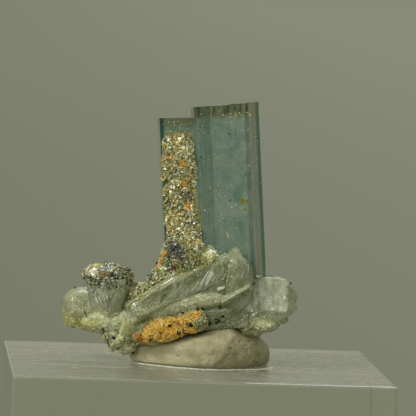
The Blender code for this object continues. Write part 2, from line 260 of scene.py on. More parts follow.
def makeStudio(plan):
    material, add, shader, where = newMaterial("studioFloorPaper")  # seamless background paper, dull; its colour holds painted light
    place = add("SeparateXYZ", where).outputs
    # Painted light: the paper's colour grows lighter farther back and to the right, as where the studio light is
    # brighter.
    farther = add("MapRange", place["Y"], 0, plan["farAt"])
    depth = add("Mix", farther, plan["floorNear"], plan["floorFar"], data_type="RGBA")
    rightward = add("MapRange", place["X"], plan["rightFrom"], plan["rightAt"])
    across = add("Mix", rightward, depth, plan["floorRight"], data_type="RGBA")
    # Painted light: the paper under the clear block glows, standing in for the light that comes through the block.
    sides = add("SeparateXYZ", add("VectorMath", where, operation="ABSOLUTE")).outputs
    farthest = add("Math", sides["X"], sides["Y"], operation="MAXIMUM")
    under = add("MapRange", farthest, (blockHalf + 0.1) * mm, (blockHalf - 0.2) * mm, 0, plan["underGlow"])
    setNode(shader, {
        "Base Color": across, "Roughness": 1, "Specular IOR Level": 0, "Emission Color": plan["underColour"],
        "Emission Strength": under,
    })
    angle = np.linspace(0, 2 * np.pi, 97)[:-1]
    # In metres: the middle and the rim of the underside, then the rim and finer rings of the top
    radii = np.array([0, plan["floorRadius"], plan["floorRadius"], 3, 1, 0.3, 0]) / mm
    rings = np.zeros((len(radii), len(angle), 3))
    rings[..., 0] = radii[:, None] * np.cos(angle)
    rings[..., 1] = radii[:, None] * np.sin(angle)
    rings[:2, :, 2] = -plan["floorThick"]
    fillMesh("studioFloor", *closedSurface(rings), material)
    world = bpy.data.worlds.new("studioSky")
    bpy.context.scene.world = world
    world.use_nodes = True
    add = partial(addNode, world.node_tree)
    height = add("SeparateXYZ", add("TexCoord").outputs["Generated"]).outputs["Z"]
    setNode(world.node_tree.nodes["Background"], {"Color": add("ValToRGB", height, stops=plan["skyStops"])})
    for name, place, spread, strength, colour in plan["suns"]:
        data = bpy.data.lights.new(name, "SUN")
        data.angle, data.energy, data.color = math.radians(spread), strength, hexColour(colour)[:3]
        light = bpy.data.objects.new(name, data)
        light.rotation_mode = "QUATERNION"
        light.rotation_quaternion = (-Vector(place)).to_track_quat("-Z", "Y")
        bpy.context.scene.collection.objects.link(light)


makeStudio(studioPlan)
bpy.context.scene.view_settings.view_transform = "Standard"
print("studio ready")


# Acrylic block: polished sides, and a handled, faintly scuffed top

acrylicPlan = dict(absorb=("#b3b9a2", 12), smearSize=5, scuffed=(0.14, 0.38), polished=0.03)


def acrylicCast(plan):
    material, add, shader, where = newMaterial("acrylicCastClear", plan["absorb"])
    stretched = add("Mapping", where, Scale=(0.2, 1, 1))
    smears = add(
        "TexNoise", stretched, Scale=1 / (plan["smearSize"] * mm), Detail=5, Roughness=0.6, Distortion=0.8
    )
    scuff = add("MapRange", smears, 0.35, 0.65, *plan["scuffed"])
    height = add("SeparateXYZ", where).outputs["Z"]
    onTop = add("MapRange", height, (blockHeight - 0.05) * mm, (blockHeight - 0.01) * mm)
    gloss = add("Mix", onTop, plan["polished"], scuff)
    setNode(shader, {"Base Color": "#fffff0", "Roughness": gloss, "Transmission Weight": 0.88, "IOR": 1.49})
    return material


refinish("acrylic_block", acrylicCast(acrylicPlan))
print("acrylic block finished")


# Aquamarine: natural prism faces, glassy but not polished, with fine upright striations

aquamarinePlan = dict(
    axis=(-0.0751, 0.0746, 0.9944),
    turns=(-4.28, -4.32),  # degrees about x and y that lay +Z along the axis
    across=(0.9945, -0.067, 0.0802),  # to the viewer's right, square to the axis
    endHeight=53.4,
    tint="#bdd8ca",
    deep="#9dbfb3",
    light="#dce8dc",
    # the streaky band under the tall prism's end is painted light, from dark olive to pale
    endStops=[(0.36, "#444c34"), (0.47, "#82906f"), (0.55, "#a6b090"), (0.66, "#d2cfa2")],
    lowEndHeight=51.9,
    lowEndSeam=3.3,  # where the shorter prism meets the tall one, measured across
    lowEnd="#a5a67c",
    # painted light and shade down the edges of the front faces
    # from where to where, in from the left or the right edge, and the colour
    edges=[("left", 1.1, 0.8, "#1f5660"), ("right", 1.45, 1.3, "#fff4dc"), ("right", 0.5, 0.4, "#93b8aa")],
    absorb=("#4a9a8a", 62),
    striation=0.45,  # between the broader striae
    etching=0.5,  # size of the fine relief
    clouds=2.2,  # of paler and deeper colour
    streaks=2.4,  # how far the streaks draw the coloured bands under the ends up and down
)


# A piece's points in millimetres
def pointsOf(obj):
    points = np.empty(len(obj.data.vertices) * 3, np.float32)
    obj.data.vertices.foreach_get("co", points)
    return points.reshape(-1, 3).astype(float) @ np.array(obj.matrix_world.to_3x3()).T / mm


def aquamarineGlass(plan):
    material, add, shader, where = newMaterial("aquamarineNaturalFaces", plan["absorb"])
    # The prisms lean a little, so the striae are laid along their own axis.
    turns = (*map(math.radians, plan["turns"]), 0)
    lean = add("Mapping", where, vector_type="TEXTURE", Rotation=turns, Scale=(1, 1, 40))
    perMetre = {key: 1 / (plan[key] * mm) for key in ("striation", "etching", "clouds")}
    broad = add("TexNoise", lean, Scale=perMetre["striation"], Detail=4, Roughness=0.62)
    etched = add("TexNoise", where, Scale=perMetre["etching"], Detail=6, Roughness=0.65, Distortion=0.4)
    relief = add("Math", etched, 0.6, broad, operation="MULTIPLY_ADD")
    bump = add("Bump", Strength=0.4, Distance=0.02 * mm, Height=relief)
    gloss = add("MapRange", etched, 0.4, 0.65, 0.08, 0.24)
    clouds = add("TexNoise", where, Scale=perMetre["clouds"], Detail=8, Roughness=0.7, Distortion=0.6)
    uneven = add("Math", broad, 0.35, clouds, operation="MULTIPLY_ADD")
    body = add("ValToRGB", uneven, stops=[(0.56, plan["deep"]), (0.67, plan["tint"]), (0.79, plan["light"])])
    # Under the end of the tall prism, a darker olive band with upright streaks: painted light, standing in for the
    # end face seen at a grazing angle through the glass
    along = add("VectorMath", where, plan["axis"], operation="DOT_PRODUCT")
    streaks = add("Math", broad, plan["streaks"] * mm, along, operation="MULTIPLY_ADD")
    high = plan["endHeight"]
    nearEnd = add("MapRange", streaks, (high - 0.35) * mm, (high + 0.3) * mm)
    streaky = add("Math", etched, 0.4, broad, operation="MULTIPLY_ADD")
    end = add("ValToRGB", add("Math", streaky, 0.2, operation="SUBTRACT"), stops=plan["endStops"])
    colour = add("Mix", nearEnd, body, end, data_type="RGBA")
    # The shorter prism has a paler, greyer zone under its end.
    low, seam = plan["lowEndHeight"], plan["lowEndSeam"]
    nearLowEnd = add("MapRange", streaks, (low - 0.1) * mm, (low + 0.9) * mm, 0, 0.85)
    across = add("VectorMath", where, plan["across"], operation="DOT_PRODUCT")
    onShorter = add("MapRange", across, (seam + 0.2) * mm, (seam - 0.2) * mm)
    share = add("Math", nearLowEnd, onShorter, operation="MULTIPLY")
    colour = add("Mix", share, colour, plan["lowEnd"], data_type="RGBA")
    # On the front faces, painted light and shade: deeper colour down both outer edges and a paler stripe inside the
    # right one, where the glass bends the light at its edges
    facing = add("SeparateXYZ", add("NewGeometry").outputs["True Normal"])
    onFront = add("MapRange", facing.outputs["Y"], -0.2, -0.3)
    values = pointsOf(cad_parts["aquamarine"]) @ np.array(plan["across"])
    for side, start, full, text in plan["edges"]:
        edge, inward = (values.min(), 1) if side == "left" else (values.max(), -1)
        band = add("MapRange", across, (edge + start * inward) * mm, (edge + full * inward) * mm)
        share = add("Math", band, onFront, operation="MULTIPLY")
        colour = add("Mix", share, colour, text, data_type="RGBA")
    setNode(shader, {
        "Base Color": colour, "Roughness": gloss, "Normal": bump, "Transmission Weight": 0.85, "IOR": 1.577,
    })
    return material


refinish("aquamarine", aquamarineGlass(aquamarinePlan))
print("aquamarine finished")


# Pale crystals

# Directions and distances of the six sides, and a ring of points round the section, dense near its corners
def turnedHexagon(plan, count):
    angle = np.radians(plan["turn"] + 60 * np.arange(6))
    outward = np.stack([np.sin(angle), -np.cos(angle)], axis=-1)
    along = np.stack([np.cos(angle), np.sin(angle)], axis=-1)
    distance = np.array(plan["faces"]) if "faces" in plan else plan["radius"] * unevenSides
    reach = (np.roll(distance, -1) - distance * 0.5) / math.sin(math.radians(60))
    corner = outward * distance[:, None] + along * reach[:, None]
    share = 0.5 - 0.5 * np.cos(np.pi * np.arange(count) / count)
    before = np.roll(corner, 1, axis=0)
    ring = before[:, None] + (corner - before)[:, None] * share[None, :, None]
    return outward, distance, ring.reshape(-1, 2)


# A prism with cut faces as one closed surface. It starts as an upright prism: a ring round the six-sided section
# that shrinks to a pole at both ends. Every point is then drawn towards the middle until it lies inside all the
# planes, with a soft maximum of the plane distances, so that the edges are slightly rounded. Growth steps and
# etching move it in and out along the same line.
def crystalShell(plan):
    rows, length, foot = plan["rows"], plan["length"], plan["foot"]
    outward, distance, ring = turnedHexagon(plan, plan["count"])
    capRows = rows // 3
    inward = np.sin(np.linspace(0, np.pi / 2, capRows))
    height = -length * (0.5 + 0.5 * np.cos(np.pi * np.linspace(0, 1, rows)))
    size = np.concatenate([inward, np.ones(rows - 2), inward[::-1]])
    level = np.concatenate([np.full(capRows, -length), height[1:-1], np.zeros(capRows)])
    taper = 1 + (1 - foot) * level / length
    local = np.zeros((len(size), len(ring), 3))
    local[..., :2] = ring[None] * (size * taper)[:, None, None]
    local[..., 2] = level[:, None]
    axis, tip = np.array(plan["axis"], float), np.array(plan["tip"], float)
    axis = axis / np.linalg.norm(axis)
    upright = Vector((0, 0, 1))
    turned = np.array(upright.rotation_difference(Vector(axis).normalized()).to_matrix())
    points = local @ turned.T + tip
    sideNormals = np.concatenate([outward, np.zeros((6, 1))], axis=-1) @ turned.T
    sideNormals = sideNormals - axis * (distance * (1 - foot) / length)[:, None]
    sizes = np.linalg.norm(sideNormals, axis=-1)
    normals = list(sideNormals / sizes[:, None]) + [axis, -axis]
    offsets = list(distance / sizes + (sideNormals / sizes[:, None]) @ tip) + [axis @ tip, length - axis @ tip]
    for point, direction in plan["cuts"]:
        direction = np.array(direction, float) / np.linalg.norm(direction)
        normals.append(direction)
        offsets.append(direction @ np.array(point, float))
    normals, offsets = np.array(normals), np.array(offsets)
    middle = tip - axis * length * 0.5
    away = points - middle
    share = np.maximum(away @ normals.T / (offsets - normals @ middle), 1e-6)
    reach = 1 / (share ** plan["sharp"]).sum(axis=-1) ** (1 / plan["sharp"])
    points = middle + away * reach[..., None]
    seed, (broad, narrow) = plan["seed"], plan["stepSizes"]
    step = np.tanh(5 * softNoise(points, broad, seed)) + 0.6 * np.tanh(6 * softNoise(points, narrow, seed + 5))
    etch = layeredNoise(points, plan["etchSize"], 3, seed + 9)
    span = np.linalg.norm(points - middle, axis=-1)
    move = (plan["step"] * (step - 1.6) + plan["etch"] * (etch - 1.2)) / span
    return closedSurface(middle + (points - middle) * (1 + move)[..., None])


# Quartz and pale beryl: streaked colour clouds, haze on the faces and a little absorption inside
def hazyCrystal(name, plan):
    material, add, shader, where = newMaterial(name, plan["absorb"])
    streaked = add(
        "Mapping", where, vector_type="TEXTURE", Rotation=(0, math.radians(plan["lean"]), 0),
        Scale=(1, 1, plan["stretch"]),
    )
    clouds = add("TexNoise", streaked, Scale=1 / (plan["cloud"] * mm), Detail=6, Roughness=0.65, Distortion=0.5)
    colour = add("ValToRGB", clouds, stops=[(0.36, plan["dark"]), (0.5, plan["mid"]), (0.64, plan["pale"])])
    if "sideTone" in plan:  # a zone of another colour on one side of the crystal; on the sloping crystal and the right prism it is painted light, paler on the lower side that lies in shade
        direction, start, full, text, strength = plan["sideTone"]
        height = add("VectorMath", where, direction, operation="DOT_PRODUCT")
        wavy = add("Math", clouds, 3 * mm, height, operation="MULTIPLY_ADD")
        share = add("MapRange", wavy, (start + 1.5) * mm, (full + 1.5) * mm, 0, strength)
        colour = add("Mix", share, colour, text, data_type="RGBA")
    haze = add("MapRange", clouds, 0.35, 0.65, plan["smooth"], plan["rough"])
    fine = add("TexNoise", where, Scale=1 / (0.35 * mm), Detail=5, Roughness=0.65)
    bump = add("Bump", Strength=0.5, Distance=plan["bump"] * mm, Height=fine)
    setNode(shader, {
        "Base Color": colour, "Roughness": haze, "Normal": bump, "Transmission Weight": plan["clear"], "IOR": 1.55,
    })
    return material


# A colour on one side is given as a direction, where it starts and where it is full along that, a colour and a
# strength.
paleHaze = dict(
    cloud=1.3, lean=10, stretch=1.6, dark="#a9af80", mid="#ced3a8", pale="#eef0d2", smooth=0.12, rough=0.4,
    clear=0.5, bump=0.03, absorb=("#d6ddb2", 20),
)
clearHaze = dict(
    paleHaze, cloud=1.2, lean=28, stretch=2, dark="#a3aa7c", mid="#cfd4aa", pale="#f4f6e0", smooth=0.04, rough=0.3,
    clear=0.6,
)
hazePlans = dict(
    paleCrystalHazyFaces=paleHaze,
    paleCrystalClearFaces=clearHaze,
    # painted light: the sloping crystal is drawn paler on its lower side, which faces down into shade
    paleCrystalPaintedLightBand=dict(
        clearHaze, cloud=1.3, dark="#8a925c", mid="#b6bd88", pale="#eceeca", clear=0.5,
        sideTone=((0.437, 0, -0.9), -28.2, -26.6, "#f2f4da", 0.7),
    ),
    paleCrystalYellowHaze=dict(
        paleHaze, dark="#aab07e", mid="#bec396", pale="#d6dab6", lean=-60,
        sideTone=((-0.25, 0, -0.97), -21, -19.6, "#c4c07a", 0.85),
    ),
    paleCrystalVeiled=dict(
        clearHaze, dark="#9aa176", mid="#b2b88e", pale="#d6dab6", clear=0.5, smooth=0.12, rough=0.4
    ),
    paleCrystalBarrel=dict(clearHaze, sideTone=((0, 0, -1), -28.2, -25.6, "#d3d8ac", 0.8)),
    # painted light: the right prism's foot faces down into shade and is drawn paler
    paleCrystalPaintedLightFoot=dict(
        paleHaze, dark="#8c9470", mid="#b2ba94", pale="#dce0c4",
        sideTone=((0.3, 0, -0.95), -23.8, -21.8, "#eef0d8", 0.6),
    ),
    milkyQuartzSoft=dict(
        paleHaze, cloud=0.45, lean=20, stretch=1.2, dark="#a8ae7a", mid="#ced3a4", pale="#eef0d0", smooth=0.25,
        rough=0.5, clear=0.4, bump=0.2, absorb=("#d6ddb2", 30),
    ),
    # sugary broken quartz and feldspar, only faintly see-through
    grainyMassBrokenQuartz=dict(
        paleHaze, cloud=0.8, lean=0, stretch=1, dark="#a3a976", mid="#cdd2a6", pale="#efefd2", smooth=0.25,
        rough=0.6, clear=0.3, absorb=("#c8cc9c", 90),
    ),
)
hazes = {name: hazyCrystal(name, plan) for name, plan in hazePlans.items()}

# Each crystal runs from its tip back along its axis, with the foot so many times as wide. It is like this where
# it says nothing else. A cut is a place and the direction it faces.
crystalHabit = dict(
    count=26,  # points along each side
    rows=90,
    foot=1,
    cuts=(),
    sharp=45,  # the higher, the sharper the edges
    step=0.035,  # height and sizes of the growth steps
    stepSizes=(1.3, 0.55),
    etch=0.02,  # height and size of the etching
    etchSize=0.5,
)
unevenSides = np.array([1, 0.92, 1.05, 0.97, 1.08, 0.95])  # how far out the six faces lie, as shares of a radius
crystalPlans = dict(
    slopingCrystal=dict(
        tip=(-9.7, -5, 26.5), axis=(-13.2, -3, -6.4), turn=10, radius=2.25, length=14.5, foot=1.3,
        cuts=[((-9.3, -5, 27.4), (-0.6, -0.2, 0.8)), ((-9.4, -5.6, 25.6), (-0.7, -0.5, -0.5))],
        finish="paleCrystalPaintedLightBand", seed=1, sharp=22, step=0.04,
    ),
    hazyPointedCrystal=dict(
        tip=(5.2, -4.6, 35.4), axis=(-0.03, -0.2, 1), turn=20, radius=2.5, length=9,
        cuts=[
            ((4.4, -4.8, 34.9), (-0.8, -0.1, 0.62)),
            ((5.8, -4.8, 34.6), (0.75, -0.1, 0.6)),
            ((5.2, -6, 34.4), (0, -0.9, 0.45)),
        ],
        finish="paleCrystalVeiled", seed=2, sharp=9, step=0.02,
    ),
    hazyShoulder=dict(
        tip=(3.3, -4.6, 34.6), axis=(0.1, -0.25, 1), turn=45, radius=1.7, length=6.5,
        cuts=[((2.9, -4.8, 34.1), (-0.7, -0.1, 0.7)), ((3.9, -4.8, 34.2), (0.6, -0.2, 0.75))],
        finish="paleCrystalVeiled", seed=13, count=16, rows=50, sharp=8, step=0.02,
    ),
    lensCrystal=dict(
        tip=(7.6, -5.1, 30.6), axis=(0.82, 0.1, 0.5), turn=5, faces=(1.5, 0.85, 0.9, 1.4, 0.85, 0.9), length=5.4,
        foot=0.6, cuts=[((7.3, -5.2, 30.5), (0.9, -0.4, 0.2))], sharp=14,
        finish="paleCrystalClearFaces", seed=3,
    ),
    darkClearCrystal=dict(
        tip=(7, -2.4, 26.6), axis=(1, -0.1, 0.12), turn=12, radius=2.75, length=6.6,
        finish="paleCrystalClearFaces", seed=4,
    ),
    rightPalePrism=dict(
        tip=(13.8, -2.1, 27.5), axis=(1, -0.1, 0), turn=36, faces=(3.5, 3.13, 3.57, 3.3, 4.29, 3.6), length=8.6,
        cuts=[
            ((12.7, -4.2, 28.5), (0.93, -0.36, 0.06)),
            ((13.1, -1.5, 30), (0.72, 0, 0.7)),
            ((11.4, -1.9, 25.1), (0.56, -0.1, -0.82)),
            ((9, -1.9, 31.65), (0.12, 0, 1)),
        ],
        finish="paleCrystalPaintedLightFoot", seed=5, sharp=28,
    ),
    leftBarrelPrism=dict(
        tip=(-12.05, -2.2, 30.7), axis=(-0.04, -0.06, 1), turn=15, radius=3.05, length=7.6, foot=0.58,
        finish="paleCrystalBarrel", seed=6, sharp=18,
    ),
    smallPrism=dict(
        tip=(-8.5, 0.6, 30), axis=(0.05, 0, 1), turn=40, radius=0.55, length=4,
        finish="paleCrystalHazyFaces", seed=7, count=10, rows=30,
    ),
    farLeftCrystal=dict(
        tip=(-18.45, 2.7, 25.9), axis=(-1, -0.04, 0.08), turn=22, radius=3.2, length=8.5,
        cuts=[
            ((-18.05, 2.8, 26), (-0.97, -0.22, 0)),
            ((-17.2, 2.8, 28.3), (-0.68, 0, 0.74)),
            ((-16.5, 2.8, 23), (-0.25, 0, -0.97)),
        ],
        finish="paleCrystalYellowHaze", seed=8, sharp=9,
    ),
    backPrismLeft=dict(
        tip=(-3.6, 7.6, 30.6), axis=(-0.3, 0.7, 1), turn=8, radius=1.5, length=6.5,
        finish="paleCrystalClearFaces", seed=9, count=16, rows=50,
    ),
    backPrismMiddle=dict(
        tip=(1.6, 9.4, 29.6), axis=(0.1, 1, 0.6), turn=25, radius=1.3, length=6,
        finish="paleCrystalClearFaces", seed=10, count=16, rows=50,
    ),
    backPrismRight=dict(
        tip=(8.9, 6.6, 29.2), axis=(0.6, 0.6, 0.8), turn=14, radius=1.25, length=6,
        finish="paleCrystalHazyFaces", seed=11, count=16, rows=50,
    ),
    backPrismLow=dict(
        tip=(-8.2, 6.4, 27), axis=(-0.6, 0.9, 0.3), turn=33, radius=1.5, length=6.5,
        finish="paleCrystalHazyFaces", seed=12, count=16, rows=50,
    ),
)
for name, plan in crystalPlans.items():
    settle(
        fillMesh(name, *crystalShell(crystalHabit | plan), hazes[plan["finish"]]), "pale_crystal",
        "pale_crystal_cluster",
    )
print("pale crystals built")


# Grainy mass under the crystals, and milky quartz that fills the hollows between the two

fineGrain = 0.26
grainEdge = 0.62  # how far a grain's border is from its middle, as a share of the grain size
# Each lump is a middle, half sizes, the roughness of its outline and a seed.
massPlans = dict(
    grainyMassCore=dict(
        lumps=[
            ((-10.5, -1, 23.2), (2.6, 3, 2.7), 0.34, 1), ((-4.5, -0.4, 24.6), (5.6, 4.9, 3.6), 0.16, 2),
            ((2.4, 0.6, 25.4), (5.4, 5, 4), 0.16, 3), ((7.2, -0.6, 25), (2.6, 3.6, 2.7), 0.18, 4),
            ((-2, 0.9, 29.2), (4.2, 4.2, 4.9), 0.18, 5), ((-8, 1.2, 26.8), (3.6, 3.6, 3), 0.2, 6),
            ((4.8, 3.4, 27.6), (6.2, 5.2, 4.4), 0.18, 7), ((-1.8, 4.6, 26.8), (4.4, 4.6, 3.6), 0.18, 9),
            ((-9.4, -1.5, 21.2), (1.3, 1.6, 1.3), 0.3, 8),
        ],
        finish="grainyMassBrokenQuartz", rings=84, around=120, grain=0.55, relief=0.1,
    ),
    milkyQuartz=dict(
        lumps=[
            ((-5.8, -4.2, 26.4), (3, 1.7, 1.4), 0.1, 21), ((-3.8, -4.2, 26.9), (3, 1.7, 1.4), 0.1, 22),
            ((-1.6, -4.2, 27.5), (3, 1.7, 1.4), 0.1, 31), ((0.4, -4.1, 28), (3, 1.6, 1.4), 0.1, 23),
            ((2.4, -3.9, 28.2), (2.4, 1.5, 1.2), 0.1, 24), ((2, -3.2, 29.3), (1.7, 1.6, 1.4), 0.12, 25),
            ((-12.2, -1.8, 24.6), (2.6, 2.4, 2), 0.12, 26), ((-10.8, -2, 24.4), (2.6, 2.3, 2.2), 0.12, 28),
            ((-9.4, -2.2, 24.6), (2.4, 2.2, 2.4), 0.12, 27), ((-13.7, -0.3, 24.2), (2, 1.9, 1.1), 0.1, 29),
            ((8.6, -3, 25.3), (1.5, 1.5, 1.3), 0.16, 30), ((9.4, -3.4, 24.9), (2, 1.5, 1.2), 0.14, 32),
            ((10.9, -3.2, 25.7), (1.7, 1.4, 0.9), 0.14, 33),
        ],
        finish="milkyQuartzSoft", rings=48, around=74, grain=0.4, relief=0.03,
    ),
)


# The directions of a sphere's points, from pole to pole: the angle from +Z down, and the turn round it
def poleToPole(plan):
    polar = np.linspace(np.pi, 0, plan["rings"])[:, None]
    return polar, np.linspace(0, 2 * np.pi, plan["around"], endpoint=False)[None]


# A stretched sphere, pushed in and out by smooth noise and set with grains. Each grain is the cell round a
# scattered point: the surface rises towards the point and falls to a groove at the cell's border.
def grainyLump(middle, halfSizes, rough, seed, plan):
    polar, turn = poleToPole(plan)
    unit = np.stack(
        [np.sin(polar) * np.cos(turn), np.sin(polar) * np.sin(turn), np.cos(polar) + 0 * turn], axis=-1
    )
    push = 1 - 0.04 + rough * 0.45 * softNoise(unit * 2.2 + seed * 3.7, 1.0, seed)
    push = push + 0.3 * rough * np.tanh(2 * softNoise(unit * 4.6 + seed * 1.3, 1.0, seed + 40)) - 0.15 * rough
    points = np.array(middle) + unit * np.array(halfSizes) * push[..., None]
    fine = grainEdge - grainDistance(points, fineGrain, seed)
    grains = grainEdge - grainDistance(points, plan["grain"], seed) + 0.5 * fine
    return closedSurface(points + unit * (plan["relief"] * grains)[..., None])


for name, plan in massPlans.items():
    shape = joinShapes([grainyLump(*row, plan) for row in plan["lumps"]])
    settle(fillMesh(name, *shape, hazes[plan["finish"]]), "pale_crystal", "pale_crystal_cluster")
print("grainy mass built")


# Small pieces that grow on a solid

# The triangles of a piece as corner points, with outward directions and areas
def facesOf(obj):
    mesh = obj.data
    mesh.calc_loop_triangles()
    corners = np.empty(len(mesh.loop_triangles) * 3, np.int32)
    mesh.loop_triangles.foreach_get("vertices", corners)
    triangles = pointsOf(obj)[corners.reshape(-1, 3)]
    cross = np.cross(triangles[:, 1] - triangles[:, 0], triangles[:, 2] - triangles[:, 0])
    double = np.linalg.norm(cross, axis=-1)
    return triangles, cross / np.maximum(double, 1e-12)[:, None], double / 2


# Random places on those faces, evenly by area, with each face's outward direction. With `facing`, only faces
# turned that way count.
def scatter(faces, count, rng, facing=None, least=0.0):
    triangles, outward, weight = faces
    if facing is not None:
        toward = np.array(facing, float) / np.linalg.norm(facing)
        weight = weight * (outward @ toward > least)
    chosen = rng.choice(len(triangles), size=count, p=weight / weight.sum())
    a, b = rng.random(count), rng.random(count)
    flip = a + b > 1
    a, b = np.where(flip, 1 - a, a), np.where(flip, 1 - b, b)
    picked = triangles[chosen]
    places = picked[:, 0] + a[:, None] * (picked[:, 1] - picked[:, 0]) + b[:, None] * (picked[:, 2] - picked[:, 0])
    return places, outward[chosen]


def unitRows(rows):
    return rows / np.maximum(np.linalg.norm(rows, axis=-1, keepdims=True), 1e-9)


# Flat pieces from their outlines below and above, each an array of piece, corner, and x, y, z
def slabs(below, above):
    count, corners = below.shape[:2]
    low = np.arange(corners)
    beside = (low + 1) % corners
    sides = np.stack([low, beside, corners + beside, corners + low], axis=-1).ravel()
    pattern = np.concatenate([low[::-1], corners + low, sides])
    loops = (np.arange(count)[:, None] * 2 * corners + pattern).ravel()
    points = np.concatenate([below, above], axis=1).reshape(-1, 3)
    return points, loops, np.tile([corners, corners] + [4] * corners, count)


# Mica plates: each is a slightly uneven polygon round its place, given its thickness along facing.
def plateField(places, facing, radius, thick, rng, corners=6):
    count = len(places)
    helper = np.where(np.abs(facing[:, 2:3]) < 0.9, [[0.0, 0.0, 1.0]], [[1.0, 0.0, 0.0]])
    across = unitRows(np.cross(helper, facing))
    along = np.cross(facing, across)
    angle = rng.uniform(0, 2 * np.pi, (count, 1)) + np.arange(corners) * 2 * np.pi / corners
    reach = radius[:, None] * rng.uniform(0.75, 1.15, (count, corners))
    flat = (np.cos(angle) * reach)[..., None] * across[:, None]
    flat = flat + (np.sin(angle) * reach)[..., None] * along[:, None]
    half = (facing * thick[:, None] / 2)[:, None]
    return slabs(places[:, None] + flat - half, places[:, None] + flat * 0.93 + half)


# Uneven four-sided outlines: each has a direction, one square to it, a length and a width.
def fourSided(corners, long, short, length, width):
    corners = np.array(corners)
    flat = (corners[:, 0] * length[:, None])[..., None] * long[:, None]
    return flat + (corners[:, 1] * width[:, None])[..., None] * short[:, None]


# Small angular grains: a cube with its corners moved at random, turned at random about its place
def grainField(places, size, stretch, rng):
    count = len(places)
    cube = np.array([(x, y, z) for z in (-1, 1) for y in (-1, 1) for x in (-1, 1)], float)
    corners = cube * 0.6 + rng.uniform(-0.22, 0.22, (count, 8, 3))
    corners = corners * size[:, None, None] * np.array(stretch)
    w, x, y, z = unitRows(rng.normal(size=(count, 4))).T
    turn = np.stack(
        [
            1 - 2 * (y * y + z * z), 2 * (x * y - w * z), 2 * (x * z + w * y),
            2 * (x * y + w * z), 1 - 2 * (x * x + z * z), 2 * (y * z - w * x),
            2 * (x * z - w * y), 2 * (y * z + w * x), 1 - 2 * (x * x + y * y),
        ],
        axis=-1,
    ).reshape(-1, 3, 3)
    points = (places[:, None] + np.einsum("nij,nkj->nki", turn, corners)).reshape(-1, 3)
    pattern = np.array([0, 2, 3, 1, 4, 5, 7, 6, 0, 1, 5, 4, 2, 6, 7, 3, 0, 4, 6, 2, 1, 3, 7, 5])
    loops = (np.arange(count)[:, None] * 8 + pattern).ravel()
    return points, loops, np.full(count * 6, 4)


# Small pieces as one mesh, each in its own colour: the material reads it from the colour attribute "tone".
def smallPieces(name, shape, material, colours, slot, *nodes):
    obj = fillMesh(name, *shape, material, smooth=False)
    values = np.concatenate([colours, np.ones((len(colours), 1))], axis=-1)
    values = np.repeat(values, len(shape[0]) // len(colours), axis=0)
    attribute = obj.data.color_attributes.new("tone", "FLOAT_COLOR", "POINT")
    attribute.data.foreach_set("color", values.astype(np.float32).ravel())
    settle(obj, slot, *nodes)


# The solid's own faces, sunk a little: they close what shows between the pieces that stand on it.
def onBase(base, pieces):
    return joinShapes([(base, np.arange(len(base)), np.full(len(base) // 3, 3)), pieces])


# One colour for each piece: picked by weight from the palette, then a little lighter or darker
def mixPalette(rng, count, palette):
    weights = np.array([weight for _, weight in palette])
    colours = np.array([tint(text) for text, _ in palette])
    picked = colours[rng.choice(len(palette), size=count, p=weights / weights.sum())]
    return picked * rng.uniform(0.8, 1.2, (count, 1))


# Mixes a stain into the pieces near each spot, given across and up; it fades out over the spot's radius.
def stain(colours, places, spots):
    for across, up, radius, text, strength in spots:
        distance = np.hypot(places[:, 0] - across, places[:, 2] - up) / radius
        share = strength * np.clip(1.4 - distance, 0, 1)[:, None]
        colours = colours * (1 - share) + tint(text) * share
    return colours


# Mixes a colour in where smooth noise of that size in millimetres is high, so that it lies in patches.
def zoned(colours, places, size, seed, text, strength, level=0.1):
    share = strength * np.clip((softNoise(places, size, seed) - level) * 4, 0, 1)[:, None]
    return colours * (1 - share) + tint(text) * share


# A finish for small pieces, which have their own colours: smoothest and roughest, size of the rough patches
def tonedMaterial(name, roughness, patches, **values):
    material, add, shader, where = newMaterial(name)
    gloss = add("MapRange", add("TexNoise", where, Scale=1 / (patches * mm), Detail=3), 0.35, 0.65, *roughness)
    setNode(shader, {"Base Color": add("Attribute", attribute_name="tone"), "Roughness": gloss, **values})
    return material


# Muscovite: plates with a pearly shine, cream and grey-green, stained ochre in patches

